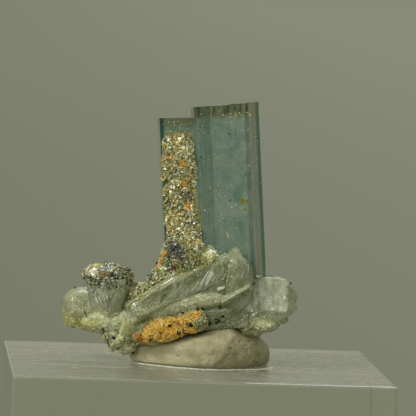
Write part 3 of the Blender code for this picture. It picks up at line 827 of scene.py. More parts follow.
micaThick = (0.02, 0.05)
micaSizes = (0.065, 0.2, 2.6)  # smallest half width, how much wider the widest are, and how rare those are
micaPlans = dict(
    micaCoat=dict(
        node="muscovite_coat", plates=12200, corners=5, facing=(-0.2, -1, 0.3), seed=5, under="#7c7c4c",
        # the palest tone is partly cream mica and partly painted glints of plates that catch the light
        palette=[
            ("#fbfde6", 0.15), ("#d2d496", 0.17), ("#b4ad56", 0.2), ("#8b9156", 0.19), ("#c0932e", 0.09),
            ("#4c502b", 0.2),
        ],
        # across, up, radius, colour, strength
        stains=[
            (-2.5, 46.2, 0.45, "#e3a022", 0.9), (-2, 43.7, 0.4, "#e3a022", 0.9),
            (-1.5, 40.4, 0.5, "#dc9c24", 0.9), (-4.2, 47.1, 0.45, "#cf9830", 0.8),
            (-4.7, 34.1, 0.34, "#eab032", 1), (-5.05, 33.3, 0.3, "#eab032", 1),
            (-5.35, 32.4, 0.28, "#e2a42a", 1), (-1.7, 41.9, 0.75, "#4f5138", 0.8),
            (-0.9, 38.1, 0.65, "#55583e", 0.7), (-4.2, 40.7, 0.6, "#5b5c40", 0.6),
            (-3.4, 34.9, 1.15, "#37352a", 1), (-2.6, 33.9, 0.9, "#4a4632", 0.85),
            (1, 33.9, 1.3, "#cfd38c", 0.7), (-3.54, 32.2, 0.32, "#6e1810", 1),
        ],
        flatten=0.75,  # how far the plates are drawn to one smooth surface
    ),
    micaCap=dict(
        node="muscovite_cap", plates=4600, corners=6, facing=(0, -0.4, 1), seed=6, under="#565c3a",
        # the palest tone is partly pale mica and partly painted sparkles of plates that catch the light
        palette=[
            ("#f8faee", 0.1), ("#b3ba92", 0.22), ("#838b5e", 0.26), ("#5d6440", 0.24), ("#3d4228", 0.14),
            ("#a98f48", 0.04),
        ],
        stains=[
            (-12.9, 31, 0.6, "#7a680e", 1), (-11.9, 30.9, 0.55, "#4c3d12", 0.9),
            (-10.1, 31.6, 0.95, "#55572a", 0.85), (-9.2, 30.9, 0.5, "#8a7a26", 0.7),
            (-14.6, 31.6, 0.75, "#efe3c0", 0.8), (-13.9, 32.6, 0.45, "#d9b95c", 0.9),
        ],
        flatten=0,
    ),
)
micaMaterial = tonedMaterial(
    "muscovitePearlyPlates", (0.12, 0.35), 0.5, **{"IOR": 1.58, "Specular IOR Level": 0.7, "Coat Weight": 0.4}
)
smoothFrom = 35.5  # height above which the coat is drawn smooth
coatMiddle = 43  # about the middle of its height


# Draws front-facing places high up towards one smooth surface: a fit of depth to across and up
def smoothed(places, outward, share, sink=0.0):
    x, y, z = places.T
    a, b = x / 4, (z - coatMiddle) / 8  # about -1 to 1 over the coat
    terms = np.stack([a**i * b**j for i in range(4) for j in range(4 - i)], axis=-1)
    front = (outward[:, 1] < -0.3) & (z > smoothFrom)
    weights = np.linalg.lstsq(terms[front], y[front], rcond=None)[0]
    moved = places.copy()
    strength = share * np.clip((z - smoothFrom) / 2, 0, 1)
    moved[front, 1] += (strength * (terms @ weights + sink - y))[front]
    return moved


def micaCrust(name, plan):
    rng = np.random.default_rng(plan["seed"])
    count, corners, flatten = plan["plates"], plan["corners"], plan["flatten"]
    faces = facesOf(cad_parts[plan["node"]])
    places, outward = scatter(faces, count, rng, plan["facing"], -0.1)
    if flatten:
        places = smoothed(places, outward, flatten)
    # Each plate faces outward, tilted at random, and a little more to the front and up.
    lie = unitRows(outward * 0.8 + np.array([-0.05, -0.2, 0.15]) + rng.normal(scale=0.6, size=outward.shape))
    least, more, rarity = micaSizes
    radius = least + more * rng.random(count) ** rarity
    thick = rng.uniform(*micaThick, count)
    places = places - outward * rng.uniform(0, 0.12, (count, 1))
    plates = plateField(places, lie, radius, thick, rng, corners)
    base = (faces[0] - faces[1][:, None] * 0.06).reshape(-1, 3)
    if flatten:
        base = smoothed(base, np.repeat(faces[1], 3, axis=0), 0.98, 0.3) + [0, 0.12, 0]
    colours = mixPalette(rng, count, plan["palette"])
    if flatten:
        # Ochre and grey patches; towards the foot all but a few sparkling plates get darker and greener.
        colours = zoned(colours, places * [1.6, 1, 0.7], 0.5, plan["seed"], "#d6b040", 0.5, 0.2)
        colours = zoned(colours, places, 1.4, plan["seed"] + 1, "#8a9268", 0.45, 0.25)
        foot = np.clip((38.5 - places[:, 2]) / 5, 0, 1)[:, None] * 0.8
        sparkle = rng.random((count, 1)) < 0.08
        colours = np.where(sparkle, colours, colours * (1 - foot) + colours * np.array([0.6, 0.72, 0.68]) * foot)
    colours = np.repeat(stain(colours, places, plan["stains"]), 2 * corners, axis=0)
    under = stain(np.tile(tint(plan["under"]), (len(base), 1)), base, plan["stains"])
    colours = np.concatenate([under, colours])
    smallPieces(name, onBase(base, plates), micaMaterial, colours, "muscovite", plan["node"])


for name, plan in micaPlans.items():
    micaCrust(name, plan)
print("muscovite built")


# Iron-stained crust: sugary grains, orange to brown, that thin out over the mass round it

ironPlan = dict(
    grains=8000,
    size=(0.04, 0.14),
    # across and up, as seen from the front
    outline=[
        (-6.5, 24), (-5.2, 25.2), (-3.7, 25.8), (-2.4, 25.9), (-0.5, 26.5), (0.6, 27.1), (0.2, 25.6),
        (-0.9, 25.2), (-0.4, 24.3), (0.7, 23.5), (-1.4, 22.6), (-2.8, 22.1), (-5.3, 21.4), (-8.6, 21.9),
    ],
    palette=[
        ("#ffde66", 0.3), ("#fbc946", 0.26), ("#e2ae3a", 0.12), ("#fff2b4", 0.13), ("#dfd89c", 0.12),
        ("#86682a", 0.08),
    ],
    outside=[
        ("#c9cc9c", 0.3), ("#a3a874", 0.3), ("#7f8558", 0.24), ("#e9e8c8", 0.1), ("#c9a450", 0.06),
    ],
    under="#d49f34",
    underOutside="#7d8154",
    stains=[
        (-8.1, 22.4, 0.6, "#a06c20", 0.9), (-7.4, 21.9, 0.5, "#b07c24", 0.7), (-2.2, 26.3, 0.7, "#9c9a66", 0.8),
        (-1.2, 26.1, 0.5, "#8f9060", 0.7), (-3, 24.9, 0.35, "#77602c", 0.6), (-5.1, 23, 0.35, "#8a6424", 0.5),
    ],
)
ironMaterial = tonedMaterial("ironStainedSugaryGrains", (0.35, 0.6), 0.3, IOR=1.5)
beforeMiddle = 5  # what is given as seen from the front is measured this far before the middle
sightSlopes = (-0.0676, 0.0629)  # how far a line of sight goes across and up for each step nearer to the viewer


# True where a place lies inside the outline as seen from the front, by counting crossings to its right
def inOutline(places, outline, wiggle=0.3):
    nearer = places[:, 1] + beforeMiddle
    across = places[:, 0] + sightSlopes[0] * nearer + wiggle * softNoise(places, 0.7, 51)
    up = places[:, 2] + sightSlopes[1] * nearer + wiggle * softNoise(places, 0.7, 52)
    inside = np.zeros(len(places), bool)
    for (x0, z0), (x1, z1) in zip(outline, outline[1:] + outline[:1]):
        crosses = (z0 > up) != (z1 > up)
        inside ^= crosses & (across < x0 + (up - z0) * (x1 - x0) / (z1 - z0 + 1e-9))
    return inside[:, None]


def ironCrust(plan):
    rng = np.random.default_rng(8)
    faces = facesOf(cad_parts["iron_stained_crust"])
    count, outline = plan["grains"], plan["outline"]
    places, outward = scatter(faces, count, rng)
    places = places - outward * rng.uniform(0, 0.2, (count, 1))
    grains = grainField(places, rng.uniform(*plan["size"], count), (1, 1, 1), rng)
    base = (faces[0] - faces[1][:, None] * 0.1).reshape(-1, 3)
    colours = zoned(mixPalette(rng, count, plan["palette"]), places, 0.6, 3, "#e0a638", 0.5)
    colours = stain(zoned(colours, places, 0.5, 4, "#c9c08a", 0.55, 0.3), places, plan["stains"])
    colours = np.where(inOutline(places, outline), colours, mixPalette(rng, count, plan["outside"]))
    under = np.where(inOutline(base, outline), tint(plan["under"]), tint(plan["underOutside"]))
    colours = np.concatenate([under, np.repeat(colours, 8, axis=0)])
    smallPieces("ironCrust", onBase(base, grains), ironMaterial, colours, "iron_stain", "iron_stained_crust")


ironCrust(ironPlan)
print("iron-stained crust built")


# Sugary grains over the mass, and single mica plates between them

sugarPlan = dict(
    grains=15000,
    size=(0.04, 0.12),
    palette=[
        ("#eef0cc", 0.28), ("#dde0b2", 0.36), ("#c8cd9a", 0.24), ("#aab07c", 0.07), ("#dccb84", 0.05),
    ],
    plates=900,
    stains=[
        (-16.5, 24.6, 1.6, "#b9b668", 0.7), (-14.2, 23.9, 1.2, "#bebc78", 0.6), (3.2, 25, 1.7, "#7b8058", 0.7),
        (5.2, 24.6, 1.2, "#7f845c", 0.65), (1.6, 26.3, 0.9, "#969a64", 0.6), (-7.6, 24.6, 1, "#d4cd84", 0.5),
        (-11.6, 21.9, 0.8, "#8f9468", 0.6),
    ],
)
sugarMaterial = tonedMaterial("paleSugaryGrains", (0.2, 0.5), 0.3, IOR=1.55)


wellInside = 0.93  # share of a lump's half sizes


# That many random places on the grainy mass, leaving out what lies well inside one of its lumps
def onMass(count, rng, *facing):
    places, outward = scatter(facesOf(bpy.data.objects["grainyMassCore"]), count * 3, rng, *facing)
    inside = np.zeros(len(places), bool)
    for middle, halfSizes, _, _ in massPlans["grainyMassCore"]["lumps"]:
        inside |= (((places - middle) / (np.array(halfSizes) * wellInside)) ** 2).sum(axis=-1) < 1
    return places[~inside][:count], outward[~inside][:count]


def sugarGrains(plan):
    rng = np.random.default_rng(21)
    places, outward = onMass(plan["grains"], rng)
    places = places - outward * rng.uniform(0.02, 0.06, (len(places), 1))
    places[:, 2] = np.maximum(places[:, 2], blockHeight + 0.6)
    grains = grainField(places, rng.uniform(*plan["size"], len(places)), (1, 1, 1.2), rng)
    colours = zoned(mixPalette(rng, len(places), plan["palette"]), places, 1.1, 5, "#a9a85c", 0.55)
    colours = stain(colours, places, plan["stains"])
    orange = inOutline(places, ironPlan["outline"], 0.5) & (places[:, 1:2] < 0)
    colours = np.where(orange, mixPalette(rng, len(places), ironPlan["palette"]), colours)
    smallPieces("sugarGrains", grains, sugarMaterial, colours, "pale_crystal")
    places, facing = onMass(plan["plates"], rng, (0, 0, 1), -0.5)
    count = len(places)
    lie = unitRows(facing + rng.normal(scale=0.5, size=facing.shape))
    plates = plateField(places, lie, rng.uniform(0.12, 0.4, count), rng.uniform(0.03, 0.06, count), rng)
    colours = mixPalette(rng, count, micaPlans["micaCoat"]["palette"])
    smallPieces("scatteredMica", plates, micaMaterial, colours, "muscovite")


sugarGrains(sugarPlan)
print("sugary grains built")


# Putty: pressed by hand, so it has creases, dents and faint skin lines

puttyPlan = dict(
    middle=(0.9, -0.3, blockHeight + 1.5),
    right=9.5, left=9.6, front=7.6, back=7.4, crown=4.2, crownAt=3.6, crownSlope=0.24, frontAt=2.5,
    frontCurve=0.048, below=3.2, rings=220, around=400,
    ringPower=0.62, sidePower=0.8, heightPower=0.72,  # below 1, so squarer than a ball
    dentDepth=0.18, dentSize=1.3,  # where the lump is 3 to each side
    # The thumb's ridge, and the side that it pressed back beyond that
    thumbAt=2.2, thumbLean=0.62, thumbEdge=0.35, pressDepth=0.38, pressReach=1.9, ridgeHeight=0.1, ridgeHalf=0.6,
    tailFrom=8, tailUp=0.5, tailHalf=0.8, tailHeight=0.8,
    crumbDepth=0.22, crumbSize=0.6,
    # across at the foot, lean, depth, width
    creases=[
        (0.5, -0.9, 0.1, 0.09), (1.4, 0.4, 0.07, 0.07), (-0.9, -0.5, 0.05, 0.08), (-6.3, -0.95, 0.3, 0.16),
        (-4.6, -1.3, 0.12, 0.1), (1.9, -0.6, 0.06, 0.07),
    ],
    # across, up, depth, width
    pits=[
        (-2.6, 20.3, 0.25, 0.22), (4.7, 21.8, 0.3, 0.16), (4.4, 21, 0.26, 0.14), (6.1, 21.4, 0.2, 0.14),
        (3.2, 23.4, 0.2, 0.13), (1.9, 20.8, 0.12, 0.3), (6.9, 22.3, 0.18, 0.2), (4, 20.1, 0.14, 0.12),
    ],
    skinLines=0.4,  # from one to the next
    skinDepth=0.016,
    tones=[(0.33, "#827c5c"), (0.5, "#9c9775"), (0.66, "#b0aa87")],
    # painted light on the left end
    paintedLightLeft="#ded8b0",
)


# A squared-off sphere: powers below 1 of the sine and cosine push it out towards a rounded box. Each side has
# its own reach. The surface then gets soft dents, creases, a few pits and skin lines.
def puttySurface(plan):
    polar, turn = poleToPole(plan)
    ring = np.maximum(np.sin(polar), 0) ** plan["ringPower"]
    z = np.cos(polar) + 0 * turn
    wide = np.sign(np.cos(turn)) * np.abs(np.cos(turn)) ** plan["sidePower"] * ring
    deep = np.sign(np.sin(turn)) * np.abs(np.sin(turn)) ** plan["sidePower"] * ring
    reach = np.where(wide > 0, plan["right"], plan["left"])
    crown = plan["crown"] - plan["crownSlope"] * np.abs(wide * reach - plan["crownAt"])
    front = plan["front"] - plan["frontCurve"] * (wide * reach - plan["frontAt"]) ** 2
    depth = np.where(deep < 0, front, plan["back"])
    height = np.where(z > 0, crown, plan["below"])
    spot = np.stack([wide * 3, deep * 3, z * 2], axis=-1)
    dents = plan["dentDepth"] * layeredNoise(spot, plan["dentSize"], 4, 3) - plan["dentDepth"]
    unit = np.stack([wide, deep, np.sign(z) * np.abs(z) ** plan["heightPower"]], axis=-1)
    points = unit * np.stack([reach, depth, height], axis=-1) + np.array(plan["middle"])
    x, y, z = np.moveaxis(points, -1, 0)
    up = z - blockHeight
    onFront = np.clip(-y / 3, 0, 1)
    # The thumb's ridge runs up to the right; the side beyond it was pressed back.
    beyond = x - plan["thumbAt"] - plan["thumbLean"] * up + 0.5 * softNoise(points, 1.5, 71)
    pressed = np.logaddexp(0, beyond / plan["thumbEdge"]) * plan["thumbEdge"]
    dents = dents - plan["pressDepth"] * onFront * (1 - np.exp(-pressed / plan["pressReach"]))
    dents = dents + plan["ridgeHeight"] * onFront * np.exp(-((beyond / plan["ridgeHalf"]) ** 2))
    # The left end is drawn out into a low tail.
    low = np.exp(-(((up - plan["tailUp"]) / plan["tailHalf"]) ** 2))
    tail = np.clip(-x / plan["tailFrom"], 0, 1) ** 4 * low * np.clip(0.3 - y / 4, 0, 1)
    dents = dents + plan["tailHeight"] * tail
    # Crumbly skin on the pressed side
    crumbs = np.clip(layeredNoise(points, plan["crumbSize"], 3, 77) - 0.25, 0, 1)
    dents = dents - plan["crumbDepth"] * onFront * (crumbs * np.clip(0.35 + 0.4 * beyond, 0.25, 1))
    for creaseAt, slope, deepness, width in plan["creases"]:
        away = x - creaseAt - slope * up + 0.12 * softNoise(points, 0.8, 14)
        dents = dents - deepness * onFront * np.exp(-((away / width) ** 2))
    for pitX, pitZ, deepness, width in plan["pits"]:
        away = ((x - pitX) ** 2 + ((z - pitZ) * 1.4) ** 2) / width**2
        dents = dents - deepness * onFront * np.exp(-away)
    curved = x + 0.35 * up ** 2 / 2 + 0.25 * softNoise(points, 2.0, 4)
    lines = np.sin(curved * 2 * np.pi / plan["skinLines"])
    dents = dents + plan["skinDepth"] * lines * np.clip(softNoise(points, 2.4, 6) * 3 + 0.6, 0, 1)
    points = points + unitRows(unit) * dents[..., None]
    points[..., 2] = np.maximum(points[..., 2], blockHeight + 0.1)
    return closedSurface(points)


def puttyFinish(plan):
    material, add, shader, where = newMaterial("mountingPuttyMatte")  # oily clay: dull, darker in its creases
    patches = add("TexNoise", where, Scale=1 / (1.6 * mm), Detail=8, Roughness=0.74)
    # Painted light: paler towards the thin left end, which would otherwise lie in shade under the specimen
    paintedLightLeft = add("MapRange", add("SeparateXYZ", where).outputs["X"], -0.5 * mm, -7 * mm, 0, 0.85)
    colour = add("Mix", paintedLightLeft, add("ValToRGB", patches, stops=plan["tones"]), plan["paintedLightLeft"], data_type="RGBA")
    bump = add("Bump", Strength=1, Distance=0.16 * mm, Height=patches)
    setNode(shader, {"Base Color": colour, "Roughness": 0.55, "Specular IOR Level": 0.35, "Normal": bump})
    return material


settle(fillMesh("puttyLump", *puttySurface(puttyPlan), puttyFinish(puttyPlan)), "mounting_putty", "putty")
print("putty built")


# Painted highlights: thin whitish films lying on the block along the lump's foot, standing in for glints of light
# at the contact edge

footGlintPlan = dict(
    # across and back, along the foot from its right end round the front to the left
    foot=[
        (10.3, -1.5), (9.6, -4.2), (7.9, -6.4), (5.4, -7.8), (2.6, -8.5), (0, -8.1), (-2.6, -6.8), (-5.4, -4.6),
        (-8.2, -1.4),
    ],
    count=340,
    levels=(-0.005, 0.03),  # underside and top, over the block's top face
    tones=[("#fffff2", 0.5), ("#f2f0d4", 0.3), ("#d9d6b4", 0.2)],
)


# Thin uneven films lying level on the block: each has a middle, a direction, a length and a width.
def levelFilms(middle, long, length, width, levels):
    short = np.stack([-long[:, 1], long[:, 0]], axis=-1)
    corners = [(-0.5, -0.3), (0.4, -0.5), (0.5, 0.35), (-0.35, 0.5)]
    flat = fourSided(corners, long, short, length, width) + middle[:, None]
    return slabs(*(np.dstack([flat, np.full(flat.shape[:2], blockHeight + level)]) for level in levels))


# Most lie within half a millimetre of the foot, each roughly along it.
def oilSmears(plan):
    rng = np.random.default_rng(71)
    foot, count = np.array(plan["foot"]), plan["count"]
    steps = np.concatenate([[0], np.cumsum(np.linalg.norm(np.diff(foot, axis=0), axis=-1))])
    place = np.sort(rng.uniform(0, steps[-1], count))
    middle, ahead = (
        np.stack([np.interp(where, steps, foot[:, k]) for k in (0, 1)], axis=-1) for where in (place, place + 0.2)
    )
    along = unitRows(ahead - middle + 1e-6)
    outward = np.stack([along[:, 1], -along[:, 0]], axis=-1)
    outward = np.where((outward * middle).sum(axis=-1, keepdims=True) < 0, -outward, outward)
    middle = middle + outward * (0.1 + np.abs(rng.normal(scale=0.5, size=(count, 1))) ** 1.6)
    turn = rng.normal(scale=0.25, size=count)
    long = along * np.cos(turn)[:, None] + outward * np.sin(turn)[:, None]
    films = levelFilms(middle, long, rng.uniform(0.2, 1.1, count), rng.uniform(0.04, 0.16, count), plan["levels"])
    finish = tonedMaterial("paintedFootGlintFinish", (0.1, 0.3), 0.3, **{"IOR": 1.47, "Specular IOR Level": 0.8})
    smallPieces("oilSmears", films, finish, mixPalette(rng, count, plan["tones"]), "mounting_putty")


oilSmears(footGlintPlan)
print("smears built")


# Hairline scratches and dust on the handled top of the block, drawn pale so that they also paint sheen: at a low
# angle they read as pale level streaks of reflected light that brighten the top

scratchAndSheenPlan = dict(
    count=1000,
    half=24.8,
    levels=(-0.004, 0.012),
    tones=[("#e9e8cc", 0.5), ("#d0cfb2", 0.3), ("#b0af94", 0.2)],
)


# They lie in patches, and most run across.
def topScratches(plan):
    rng = np.random.default_rng(81)
    middle = rng.uniform(-plan["half"], plan["half"], (plan["count"], 2))
    patches = softNoise(np.concatenate([middle * [0.3, 1.0], np.zeros((len(middle), 1))], axis=-1), 5.0, 82)
    middle = middle[(patches > -0.25) | (rng.random(len(middle)) < 0.3)]
    count = len(middle)
    angle = rng.normal(scale=0.6, size=count)
    long = np.stack([np.cos(angle), np.sin(angle)], axis=-1)
    length, width = 0.1 + 1.6 * rng.random(count) ** 4, rng.uniform(0.01, 0.03, count)
    lines = levelFilms(middle, long, length, width, plan["levels"])
    finish = tonedMaterial("acrylicScratchAndSheenStreaks", (0.2, 0.5), 0.3, IOR=1.49)
    smallPieces("topScratches", lines, finish, mixPalette(rng, count, plan["tones"]), "clear_acrylic")


topScratches(scratchAndSheenPlan)
print("scratches built")


# Places seen from the front

# A search tree for every piece of the specimen, so that small things land on what is really seen
def specimenTrees():
    graph = bpy.context.evaluated_depsgraph_get()
    names = [*crystalPlans, *massPlans, "micaCoat", "micaCap", "ironCrust", "puttyLump"]
    objects = [bpy.data.objects[name] for name in names] + [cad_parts["aquamarine"]]
    return [BVHTree.FromObject(obj, graph) for obj in objects]


pieceTrees = specimenTrees()
fieldSpread = 0.6  # how widely places scatter in an oval field, as a share of its half sizes


# Where the photograph's line of sight through that place first meets a piece: place, direction, face, distance
def seenFromFront(across, up):
    eye = Vector(cameraPlan["place"]) * mm
    ray = (Vector((across, -beforeMiddle, up)) * mm - eye).normalized()
    hits = [tree.ray_cast(eye, ray) for tree in pieceTrees]
    return min((hit for hit in hits if hit[0] is not None), key=lambda hit: hit[3], default=None)


# For rows that start with across and up: the places on the specimen, the directions there, and the rest
def surfaceSpots(rows):
    found = [(seenFromFront(*row[:2]), row[2:]) for row in rows]
    found = [(hit, rest) for hit, rest in found if hit]
    places = np.array([tuple(hit[0]) for hit, _ in found]) / mm
    facing = np.array([tuple(hit[1]) for hit, _ in found])
    facing = np.where(facing @ np.array(photoAhead)[:, None] > 0, -facing, facing)
    return places, facing, [rest for _, rest in found]


# Fine druse that blends one piece into the next: plates and grains in soft oval fields, as seen from the front

drusePlan = dict(
    plateTones=dict(
        capTone=micaPlans["micaCap"]["palette"],
        mica=micaPlans["micaCoat"]["palette"],
        speck=[("#e4eee2", 0.55), ("#33483c", 0.45)],
        # painted glints: small mica plates drawn white where they catch the light
        white=[("#ffffff", 0.6), ("#f2f5e2", 0.4)],
        endSpeck=[("#2b3a30", 0.35), ("#3f6a64", 0.2), ("#c4b66a", 0.2), ("#dfe2c8", 0.25)],
    ),
    grainTones=dict(
        iron=ironPlan["palette"],
        pale=[("#efefca", 0.35), ("#dde0b0", 0.35), ("#c8cd98", 0.3)],
        olive=[("#bdb96c", 0.4), ("#cfcb88", 0.3), ("#a3a164", 0.3)],
        dark=[("#767c54", 0.4), ("#8f946a", 0.3), ("#565b38", 0.2), ("#c0c494", 0.1)],
        milk=[("#e6e9c6", 0.35), ("#cfd4a6", 0.4), ("#b0b684", 0.25)],
        yellow=[("#d6cf7c", 0.5), ("#c0b864", 0.3), ("#e4dea2", 0.2)],
        brown=[("#b07c26", 0.5), ("#8a621c", 0.3), ("#d09a32", 0.2)],
    ),
    # smallest, largest, tone, and for each oval: across, up, half across, half up, count
    fields=[
        (0.06, 0.17, "capTone", [(-12.3, 29.9, 2.4, 0.5, 330)]),
        (0.06, 0.15, "capTone", [(-14.2, 29, 0.4, 0.7, 90)]),
        (0.06, 0.16, "mica", [
            (-7.6, 29.4, 0.9, 0.4, 150), (-5.6, 30.6, 0.9, 0.4, 150), (-3.4, 31.7, 0.9, 0.4, 150),
            (-1.2, 32.6, 0.9, 0.4, 150), (0.6, 33.3, 0.9, 0.4, 150),
        ]),
        (0.06, 0.16, "white", [(1.6, 34.6, 0.5, 0.25, 60)]),
        (0.05, 0.12, "white", [(-8.4, 26.9, 0.7, 0.9, 50)]),
        (0.05, 0.14, "mica", [(-8.2, 28.6, 0.7, 0.5, 90)]),
        (0.03, 0.09, "pale", [
            (-7.2, 26.3, 1, 0.5, 60), (-4.6, 27.1, 1.2, 0.45, 60), (-2, 27.8, 1.2, 0.4, 60),
            (0.6, 28.2, 1.2, 0.4, 60),
        ]),
        (0.03, 0.08, "pale", [(-12.9, 25.1, 1.8, 0.7, 90)]),
        (0.04, 0.1, "olive", [(-16.4, 24.4, 1.6, 0.4, 240)]),
        (0.05, 0.16, "pale", [(8.4, 25.2, 1.2, 0.8, 260)]),
        (0.06, 0.14, "white", [(7.4, 25.9, 0.7, 0.7, 60)]),
        (0.04, 0.12, "dark", [(3.4, 25.2, 1.8, 0.8, 260)]),
        (0.05, 0.12, "pale", [(-9.9, 22.4, 1.4, 1.2, 240), (-8.9, 21, 0.7, 0.6, 90)]),
        (0.05, 0.1, "white", [(11.3, 27.5, 1.2, 1.8, 40), (-16, 27, 1.6, 1.4, 40)]),
        (0.04, 0.09, "white", [(3.8, 31.5, 1.1, 1.6, 50)]),
        (0.025, 0.06, "speck", [(3.2, 44.5, 5, 9, 320)]),
        (0.04, 0.1, "endSpeck", [(4.2, 53.3, 3, 0.5, 70)]),
        (0.03, 0.08, "endSpeck", [(-2.6, 51.6, 2.6, 0.5, 60)]),
        (0.03, 0.08, "milk", [
            (-5.6, 26.4, 2.6, 0.8, 800), (-2.2, 27.3, 2.4, 0.7, 700), (1, 28.2, 1.8, 0.7, 500),
        ]),
        (0.03, 0.1, "milk", [(-11.4, 24.7, 3, 1.2, 1800), (9.8, 25.2, 1.6, 0.9, 500)]),
        (0.03, 0.09, "yellow", [(-15.2, 24.2, 1.8, 0.6, 400)]),
        (0.03, 0.08, "yellow", [(-13.4, 25.6, 0.7, 0.5, 80)]),
        (0.03, 0.1, "yellow", [(-9.5, 24.1, 0.9, 0.9, 260)]),
        (0.06, 0.14, "yellow", [(-13.9, 32.5, 0.3, 0.2, 90)]),
        (0.05, 0.13, "iron", [
            (-6.1, 24.3, 0.7, 0.6, 300), (-5, 25, 0.6, 0.35, 200), (-6.8, 23.3, 0.5, 0.6, 200),
        ]),
        (0.05, 0.13, "brown", [(-8, 22.8, 0.5, 0.35, 200)]),
        (0.06, 0.18, "capTone", [(-13.2, 29.6, 1.3, 0.5, 260)]),
        (0.05, 0.13, "capTone", [(-14.5, 29.4, 0.4, 0.5, 90)]),
        (0.05, 0.15, "white", [(-12.8, 32, 1.6, 0.4, 60)]),
        (0.05, 0.13, "white", [(-12.2, 30.6, 0.6, 0.25, 30)]),
    ],
)


def druse(plan):
    rng = np.random.default_rng(61)
    tones = plan["plateTones"] | plan["grainTones"]
    plates, grains = [], []
    ovals = [(*oval, *group[:3]) for group in plan["fields"] for oval in group[3]]
    for across, up, halfAcross, halfUp, count, least, most, tone in ovals:
        spread = rng.normal(scale=fieldSpread, size=(count, 2)) * (halfAcross, halfUp) + (across, up)
        places, facing, _ = surfaceSpots(spread)
        size = rng.uniform(least, most, len(places))
        group = plates if tone in plan["plateTones"] else grains
        group.append((places, facing, size, mixPalette(rng, len(places), tones[tone])))
    places, facing, size, colours = map(np.concatenate, zip(*plates))
    lie = unitRows(facing + rng.normal(scale=0.6, size=facing.shape))
    shape = plateField(places, lie, size, rng.uniform(*micaThick, len(size)), rng)
    smallPieces("drusePlates", shape, micaMaterial, colours, "muscovite")
    places, facing, size, colours = map(np.concatenate, zip(*grains))
    smallPieces("druseGrains", grainField(places, size, (1, 1, 1.3), rng), sugarMaterial, colours, "pale_crystal")


druse(drusePlan)
print("druse built")


# Partly the crystals' own streaks, partly painted highlights: thin pale slivers along the growth stand in for light
# off cleavage steps and healed cracks, and small coloured ones for iridescent glints

glintPlan = dict(
    # across, up, length, width, degrees from level, tone
    slivers=[
        (1.3, 31.1, 2, 0.8, 61, "#e8ecd4"), (-4.62, 30.15, 3, 0.22, 36, "#ffffff"),
        (-1.54, 29.36, 1.2, 0.1, 69, "#f4f6e6"), (0.71, 31.06, 2.5, 0.2, 61, "#ffffff"),
        (2.06, 31.3, 1.6, 0.14, 66, "#f6f8ea"), (1.2, 30.67, 1.5, 0.3, 62, "#e8ecd6"),
        (1.57, 31.63, 0.9, 0.22, 58, "#ffffff"), (3, 29.77, 1.2, 0.5, 27, "#f6f8ea"),
        (-3.88, 28.47, 1.3, 0.1, 34, "#e2e6cc"), (-0.53, 29.8, 1.5, 0.1, 52, "#e6ead2"),
        (-2.83, 29.45, 1.6, 0.1, 40, "#dde2c4"), (-13.75, 27.62, 0.9, 0.16, -62, "#ffffff"),
        (-13.35, 27.77, 0.8, 0.1, -66, "#ffffff"), (-12.81, 27.92, 0.9, 0.08, -72, "#f6faf6"),
        (-12.41, 28.07, 0.7, 0.14, -80, "#ffffff"), (-11.88, 28.36, 0.6, 0.08, -84, "#f0f4ea"),
        (-14.14, 27.2, 0.6, 0.08, -60, "#e6ece6"), (-1.66, 27.18, 0.4, 0.2, 30, "#ffffff"),
        (1, 28.76, 0.4, 0.15, 40, "#ffffff"), (-0.14, 30.35, 0.35, 0.15, 20, "#ffffff"),
        (-8.72, 27.23, 0.3, 0.18, 50, "#ffffff"), (-8.56, 26.56, 0.25, 0.2, 60, "#e8ffd8"),
        (-8.13, 25.89, 0.4, 0.2, 70, "#ffffff"), (-11.82, 30.67, 0.45, 0.22, 40, "#ffffff"),
        (7.48, 26.37, 0.3, 0.2, 30, "#ffffff"), (7.11, 25.4, 0.35, 0.25, 50, "#ffffff"),
        (4.55, 28.32, 0.25, 0.12, 20, "#9fcdea"), (6.35, 29.33, 0.22, 0.12, 60, "#a4d2ee"),
        (3.74, 28.16, 0.22, 0.1, 30, "#f0b48c"), (3.99, 28.71, 0.2, 0.1, 70, "#b4e0b0"),
        # the last row is a bluish-grey line painted along the barrel prism's left edge, as light bent at that edge
        (-14.52, 28.05, 3.2, 0.12, -70, "#8fb2b8"),
    ],
    # across, up, half across, half up, count, degrees from level, spread of the angle
    fields=[
        (-5.4, 28.8, 2, 1, 46, 58, 16), (-0.9, 30.6, 2.2, 1.2, 52, 61, 14), (-3.2, 29.3, 3.6, 1, 26, 30, 8),
        (4.9, 31.8, 1.5, 2.2, 46, 74, 22), (5.4, 29.2, 1.2, 0.5, 18, 34, 12),
        (-12, 27.9, 1.6, 1.4, 52, -76, 14), (10.6, 27.8, 2.2, 2, 44, 82, 36),
        (-16.3, 26.6, 1.3, 1.5, 30, 62, 40), (4.4, 26.4, 2.2, 1.1, 26, 40, 30), (-5, 27, 2.6, 0.7, 60, 40, 18),
        (-1.8, 28, 2.4, 0.7, 60, 45, 18), (1.4, 28.8, 1.6, 0.6, 36, 40, 18),
    ],
    faint=[("#ffffff", 0.2), ("#e2e6c8", 0.35), ("#bcc297", 0.25), ("#757c56", 0.2)],
)
sliverMaterial = tonedMaterial(
    "cleavageGlintAndInclusionFinish", (0.08, 0.2), 0.2, **{"IOR": 1.55, "Transmission Weight": 0.2, "Specular IOR Level": 0.8}
)


sliverHalf, sliverProud = 0.03, 0.01  # half the thickness, and how far the middle stands off the surface


